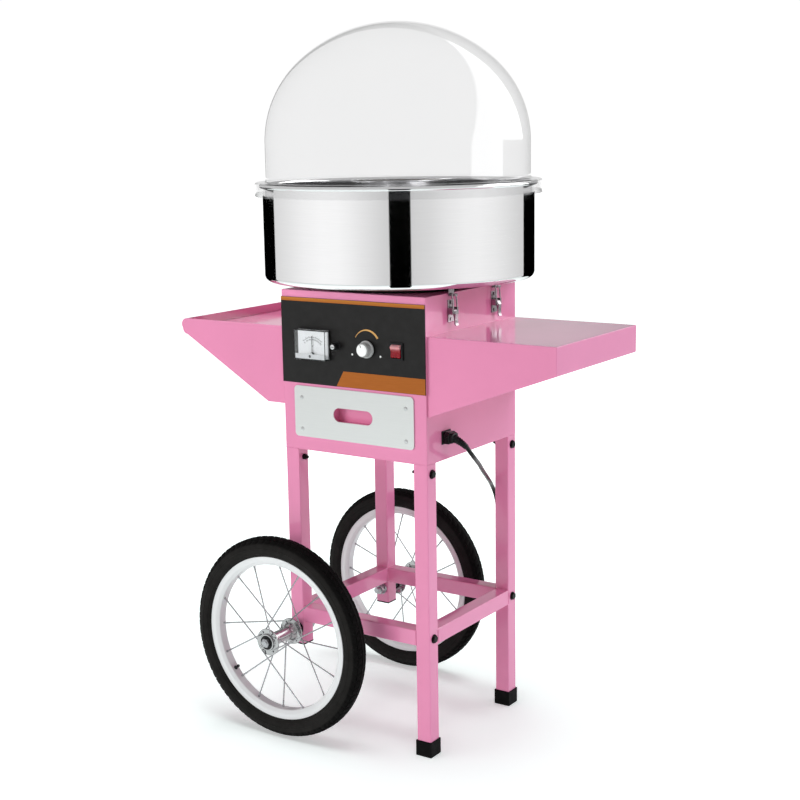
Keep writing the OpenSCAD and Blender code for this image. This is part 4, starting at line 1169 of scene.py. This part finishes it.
lip = dz - 23
outer = [(sr - 0.7, lip), (sr, lip + 0.7), (sr, dz - 0.8)]
outer += [(sr - 3.2 + 3.2 * cos(g), dz - 0.8 + 3.2 * sin(g)) for g in np.linspace(0, pi / 2, 7)][1:]
outer += [(dr + 6, dz + 2.4)]
outer += [(dr + 6 - 6 * sin(g), dz + 8.4 - 6 * cos(g)) for g in np.linspace(0, pi / 2, 9)][1:]
outer += dome_arc(0.0)
ri = dr - 2.5
inner = dome_arc(2.5)[::-1] + [(ri, dz + 0.9), (ri + 0.9, dz), (sr - 3.4, dz)]
inner += [(sr - 3.4 + 1.4 * sin(g), dz - 1.4 + 1.4 * cos(g)) for g in np.linspace(0, pi / 2, 4)][1:]
inner += [(sr - 2.0, lip + 0.7), (sr - 1.4, lip)]
v, f = lathe(outer + inner, 288, closed=False)
n = 288
first, last = list(range(n)), list(range(len(v) - n, len(v)))
f += [(first[k], first[(k + 1) % n], last[(k + 1) % n], last[k]) for k in range(n)]
B = Build().add((v, f))
skin = (len(outer) - 1) * n
B.m = [0] * skin + [1] * (len(f) - skin)
dome = B.make("dome_blown", [m_dome, m_domebody], "dome_cover", ["dome"], slot="clear_plastic", angle=50)
dome.visible_shadow = False

soft("bowl_seat", m_rubber, [(None, 1.0, 3)])

# ------------------------------------------------------------------ latches
soft("bowl_catches", m_latch, [(lambda m, w: w.length > 3, 0.35, 2)])
soft("latch_bases", m_latch, [(lambda m, w: w.length > 3, 0.35, 2)])
for fb in ("front", "back"):
    for lr in ("right", "left"):
        soft("latch_lever_%s_%s" % (fb, lr), m_latch, [(lambda m, w: w.length > 0.8, 0.4, 2)], angle=28)
        soft("latch_bail_%s_%s" % (fb, lr), m_latch, [])

# ------------------------------------------------------------------ drive and spinning head
soft("motor", m_motor, [(lambda m, w: True, 1.2, 3)])
soft("motor_bracket", m_zinc, [(None, 0.4, 2)])
soft("brush_holder", m_phenolic, [(None, 0.5, 2)])
soft("motor_shaft", m_steel, [(None, 0.5, 2)])
soft("spinner_cup", m_alu, [(None, 0.6, 3)])
soft("spinner_heater", m_heater, [])
soft("spinner_cap", m_alu, [(None, 0.5, 2)])

# ------------------------------------------------------------------ stage: floor, lights, reflectors
def plane(name, corners, mat):
    me = bpy.data.meshes.new(name)
    me.from_pydata(corners, [], [tuple(range(len(corners)))])
    me.materials.append(mat)
    ob = bpy.data.objects.new(name, me)
    scene.collection.objects.link(ob)
    return ob


s = Shade("floor_white", (0.86, 0.86, 0.865), 0.9, 0, Specular_IOR_Level=0.1, Emission_Color=(1, 1, 1, 1))
lp = s.nt.nodes.new("ShaderNodeLightPath")
x, y, z = s.sep()
out = s.math("SQRT", s.math("ADD", s.math("MULTIPLY", x, x), s.math("MULTIPLY", y, y)))
far_off = s.math("MULTIPLY", s.remap(out, 0.8, 2.4, 0, 0.57, True), lp.outputs["Is Camera Ray"])
s.link(s.math("ADD", s.remap(lp.outputs["Is Diffuse Ray"], 0, 1, 0.42, 0.27), far_off), s.b.inputs["Emission Strength"])
s.color(s.mix(s.remap(s.noise(1.5, 2), 0.3, 0.7, 0, 1), (0.772, 0.872, 0.854), (0.787, 0.886, 0.868)))
floor = plane("floor", [(-20, -20, 0), (20, -20, 0), (20, 20, 0), (-20, 20, 0)], s.mat)


def glossy_only(ob):
    ob.visible_camera = ob.visible_diffuse = ob.visible_transmission = ob.visible_shadow = ob.visible_volume_scatter = False


def emit(name):
    m = bpy.data.materials.new(name)
    m.use_nodes = True
    nt = m.node_tree
    nt.nodes.clear()
    out = nt.nodes.new("ShaderNodeOutputMaterial")
    e = nt.nodes.new("ShaderNodeEmission")
    nt.links.new(e.outputs[0], out.inputs[0])
    return m, nt, e


m_flag, nt, e = emit("flag_black")
e.inputs["Color"].default_value = (0, 0, 0, 1)
e.inputs["Strength"].default_value = 0
CD = Vector((back.x, back.y, 0)).normalized()
CR = Vector((-CD.y, CD.x, 0))


def card(name, d0, d1, dist, z0, z1, n=24, mat=None, level=None):
    """A curved upright card round the object, between two angles from the front view direction."""
    v, f, lv = [], [], []
    for k in range(n + 1):
        deg = d0 + (d1 - d0) * k / n
        g = radians(deg)
        d = CD * cos(g) + CR * sin(g)
        v += [(d.x * dist, d.y * dist, z0), (d.x * dist, d.y * dist, z1)]
        lv += [level(deg) if level else 0.0] * 2
    f = [(2 * k, 2 * k + 1, 2 * k + 3, 2 * k + 2) for k in range(n)]
    me = bpy.data.meshes.new(name)
    me.from_pydata(v, [], f)
    me.attributes.new("level", "FLOAT", "POINT").data.foreach_set("value", lv)
    me.materials.append(mat or m_flag)
    ob = bpy.data.objects.new(name, me)
    scene.collection.objects.link(ob)
    glossy_only(ob)
    return ob


card("flag_front", -7.9, 9.0, 3.2, 0.0, 0.96).visible_transmission = True
card("flag_back", 124, 235.5, 3.0, 0.0, 0.90, 40)
near, far = 0.75, 3.3
strip = plane("flag_floor", [tuple(CD * q + CR * (q * math.tan(radians(g))) + Z * 0.004) for q, g in ((near, -8.6), (near, 9.4), (far, 9.4), (far, -8.6))], m_flag)
glossy_only(strip)

# two wide soft boxes low round the object, seen only as reflections
m_wall, nt, e = emit("soft_boxes")
lev = nt.nodes.new("ShaderNodeAttribute")
lev.attribute_name = "level"
nt.links.new(lev.outputs["Fac"], e.inputs["Strength"])
BOXES = ((-180, 1.02), (-152, 1.02), (-148, 0.70), (-130, 0.74), (-105, 0.86), (-85, 0.98), (-66, 1.05), (-51, 1.04), (-40, 0.97), (-25, 0.84), (-12, 0.72), (0, 0.66),
         (12, 0.71), (25, 0.77), (40, 0.89), (55, 0.97), (68, 0.98), (85, 0.92), (105, 0.80), (120, 0.71), (138, 0.66), (148, 0.66), (152, 1.02), (180, 1.02))
card("soft_boxes", -180, 180, 6.5, 0.0, 0.86, 180, m_wall, lambda q: float(np.interp(q, [x for x, y in BOXES], [y for x, y in BOXES]))).visible_transmission = True

# bright and dim areas of the studio ceiling, seen only as reflections
m_sky, nt, e = emit("studio_surround")
co = nt.nodes.new("ShaderNodeTexCoord").outputs["Object"]
norm = nt.nodes.new("ShaderNodeVectorMath")
norm.operation = "NORMALIZE"
nt.links.new(co, norm.inputs[0])


def lobe(axis, deg, soft_deg, lo, hi):
    d = nt.nodes.new("ShaderNodeVectorMath")
    d.operation = "DOT_PRODUCT"
    nt.links.new(norm.outputs[0], d.inputs[0])
    d.inputs[1].default_value = axis
    m = nt.nodes.new("ShaderNodeMapRange")
    m.interpolation_type = "SMOOTHSTEP"
    m.inputs["From Min"].default_value = cos(radians(deg + soft_deg))
    m.inputs["From Max"].default_value = cos(radians(deg - soft_deg))
    m.inputs["To Min"].default_value = lo
    m.inputs["To Max"].default_value = hi
    nt.links.new(d.outputs["Value"], m.inputs["Value"])
    return m.outputs["Result"]


def view_axis(x, y, z):
    return (right * x + up * y + back * z).normalized()


bright = lobe(view_axis(0.748, -0.182, -0.638), 66, 2.0, 0.65, 4.0)
crescent = lobe(view_axis(0.25, 0.35, -0.90), 33.5, 1.2, 1.0, 0.10)
clear_of = lobe(view_axis(0, 0.33, -0.94), 12, 4, 1.0, 0.0)
behind = lobe(view_axis(0, 0.33, -0.94), 12, 4, 0.0, 0.72)
level = bright
for q, op in ((crescent, "MULTIPLY"), (clear_of, "MULTIPLY"), (behind, "ADD")):
    mul = nt.nodes.new("ShaderNodeMath")
    mul.operation = op
    nt.links.new(level, mul.inputs[0])
    nt.links.new(q, mul.inputs[1])
    level = mul.outputs[0]


def sums(op, u, v):
    q = nt.nodes.new("ShaderNodeMath")
    q.operation = op
    for k, x in enumerate((u, v)):
        if isinstance(x, (int, float)):
            q.inputs[k].default_value = x
        else:
            nt.links.new(x, q.inputs[k])
    return q.outputs[0]


# the studio's dim far side, low down and to the right
to_cam, to_right = Vector((sin(a), -cos(a), 0)), Vector((cos(a), sin(a), 0))
dim = sums("MULTIPLY", lobe((0, 0, -1), 91, 1.0, 0.0, 1.0),
           lobe(to_cam * cos(radians(189)) + to_right * sin(radians(189)), 90, 1.2, 0.0, 1.0))
dim = sums("MULTIPLY", dim, lobe(to_right, 93, 1.5, 0.0, 1.0))
level = sums("ADD", sums("MULTIPLY", level, sums("SUBTRACT", 1.0, dim)), sums("MULTIPLY", dim, 0.38))
nt.links.new(level, e.inputs["Strength"])
bm = bmesh.new()
bmesh.ops.create_uvsphere(bm, u_segments=64, v_segments=32, radius=9.0)
bmesh.ops.delete(bm, geom=[q for q in bm.verts if q.co.z < -1.2], context="VERTS")
me = bpy.data.meshes.new("studio_surround")
bm.to_mesh(me)
bm.free()
me.materials.append(m_sky)
sky = bpy.data.objects.new("studio_surround", me)
scene.collection.objects.link(sky)
sky.location = (0, 0, 1.0)
glossy_only(sky)

world = bpy.data.worlds.new("studio")
scene.world = world
world.use_nodes = True
wt = world.node_tree
bg = wt.nodes["Background"]
bg.inputs["Color"].default_value = (1, 1, 1, 1)
# the light comes from a bright band round the horizon; the ceiling is dim
way = wt.nodes.new("ShaderNodeSeparateXYZ")
wt.links.new(wt.nodes.new("ShaderNodeTexCoord").outputs["Generated"], way.inputs[0])
fall = wt.nodes.new("ShaderNodeMapRange")
fall.interpolation_type = "SMOOTHSTEP"
for k, val in zip(("From Min", "From Max", "To Min", "To Max"), (0.08, 0.55, 1.06, 0.06)):
    fall.inputs[k].default_value = val
wt.links.new(way.outputs["Z"], fall.inputs["Value"])
lp = wt.nodes.new("ShaderNodeLightPath")
dim = wt.nodes.new("ShaderNodeMapRange")
for k, val in zip(("From Min", "From Max", "To Min", "To Max"), (0, 1, 1, 0.1)):
    dim.inputs[k].default_value = val
wt.links.new(lp.outputs["Is Transmission Ray"], dim.inputs["Value"])
dimmed = wt.nodes.new("ShaderNodeMath")
dimmed.operation = "MULTIPLY"
wt.links.new(fall.outputs["Result"], dimmed.inputs[0])
wt.links.new(dim.outputs["Result"], dimmed.inputs[1])
wt.links.new(dimmed.outputs[0], bg.inputs["Strength"])
bg2 = wt.nodes.new("ShaderNodeBackground")
bg2.inputs["Color"].default_value = (1, 1, 1, 1)
bg2.inputs["Strength"].default_value = 1.02
# white straight behind the object, also through the clear cover
direct = wt.nodes.new("ShaderNodeMath")
direct.operation = "LESS_THAN"
direct.inputs[1].default_value = 0.5
wt.links.new(lp.outputs["Glossy Depth"], direct.inputs[0])
through = wt.nodes.new("ShaderNodeMath")
through.operation = "MULTIPLY"
wt.links.new(lp.outputs["Is Transmission Ray"], through.inputs[0])
wt.links.new(direct.outputs[0], through.inputs[1])
mx = wt.nodes.new("ShaderNodeMath")
mx.operation = "MAXIMUM"
wt.links.new(lp.outputs["Is Camera Ray"], mx.inputs[0])
wt.links.new(through.outputs[0], mx.inputs[1])
ms = wt.nodes.new("ShaderNodeMixShader")
wt.links.new(mx.outputs[0], ms.inputs[0])
wt.links.new(bg.outputs[0], ms.inputs[1])
wt.links.new(bg2.outputs[0], ms.inputs[2])
wt.links.new(ms.outputs[0], wt.nodes["World Output"].inputs["Surface"])


def area(name, loc, aim, size, power, color=(1, 1, 1)):
    ld = bpy.data.lights.new(name, "AREA")
    ld.shape = "SQUARE"
    ld.size = size
    ld.energy = power
    ld.color = color
    ob = bpy.data.objects.new(name, ld)
    scene.collection.objects.link(ob)
    ob.location = loc
    ob.rotation_mode = "QUATERNION"
    ob.rotation_quaternion = (Vector(aim) - Vector(loc)).to_track_quat("-Z", "Y")
    ob.visible_glossy = False
    ob.visible_camera = False
    ob.visible_transmission = False
    return ob


key = area("key_soft", (-2.0, -3.6, 1.7), (0, 0, 0.7), 2.4, 85)
side = area("side_soft", (3.0, 0.7, 2.8), (0.2, 0, 0.6), 1.8, 53, (1.0, 0.96, 1.12))
left = area("left_soft", (-0.95, 0.25, 2.3), (-0.25, 0, 0.78), 0.9, 21)
above = area("floor_soft", (0, 0.1, 3.4), (0, 0.1, 0), 2.8, 132)

# the cart's lights leave the floor to the wide light above it
for lamp, name, ob, state in ((key, "lit_cart", floor, "EXCLUDE"), (above, "lit_floor", floor, "INCLUDE"), (left, "lit_tray", left_tray, "INCLUDE")):
    group = bpy.data.collections.new(name)
    group.objects.link(ob)
    group.collection_objects[0].light_linking.link_state = state
    lamp.light_linking.receiver_collection = group
side.light_linking.receiver_collection = key.light_linking.receiver_collection

# a flag low down keeps the front light off the back of the stand, which stands in shade
shade = bpy.data.collections.new("flag_for_front_light")
for name, x0, x1, z0, z1 in (("flag_left", -0.42, -0.168, 0.20, 0.60), ("flag_middle", -0.126, 0.126, 0.25, 0.555)):
    ob = plane(name, [(x0, -0.125, z0), (x1, -0.125, z0), (x1, -0.125, z1), (x0, -0.125, z1)], m_flag)
    glossy_only(ob)
    ob.visible_glossy = False
    ob.visible_shadow = True
    shade.objects.link(ob)
for q in shade.collection_objects:
    q.light_linking.link_state = "EXCLUDE"
for lamp in (side, left, above):
    lamp.light_linking.blocker_collection = shade

# ------------------------------------------------------------------ stage emitters left out of light sampling
for m in (m_sky, m_wall, m_flag, floor.data.materials[0]):
    m.cycles.emission_sampling = "NONE"
bpy.context.view_layer.update()
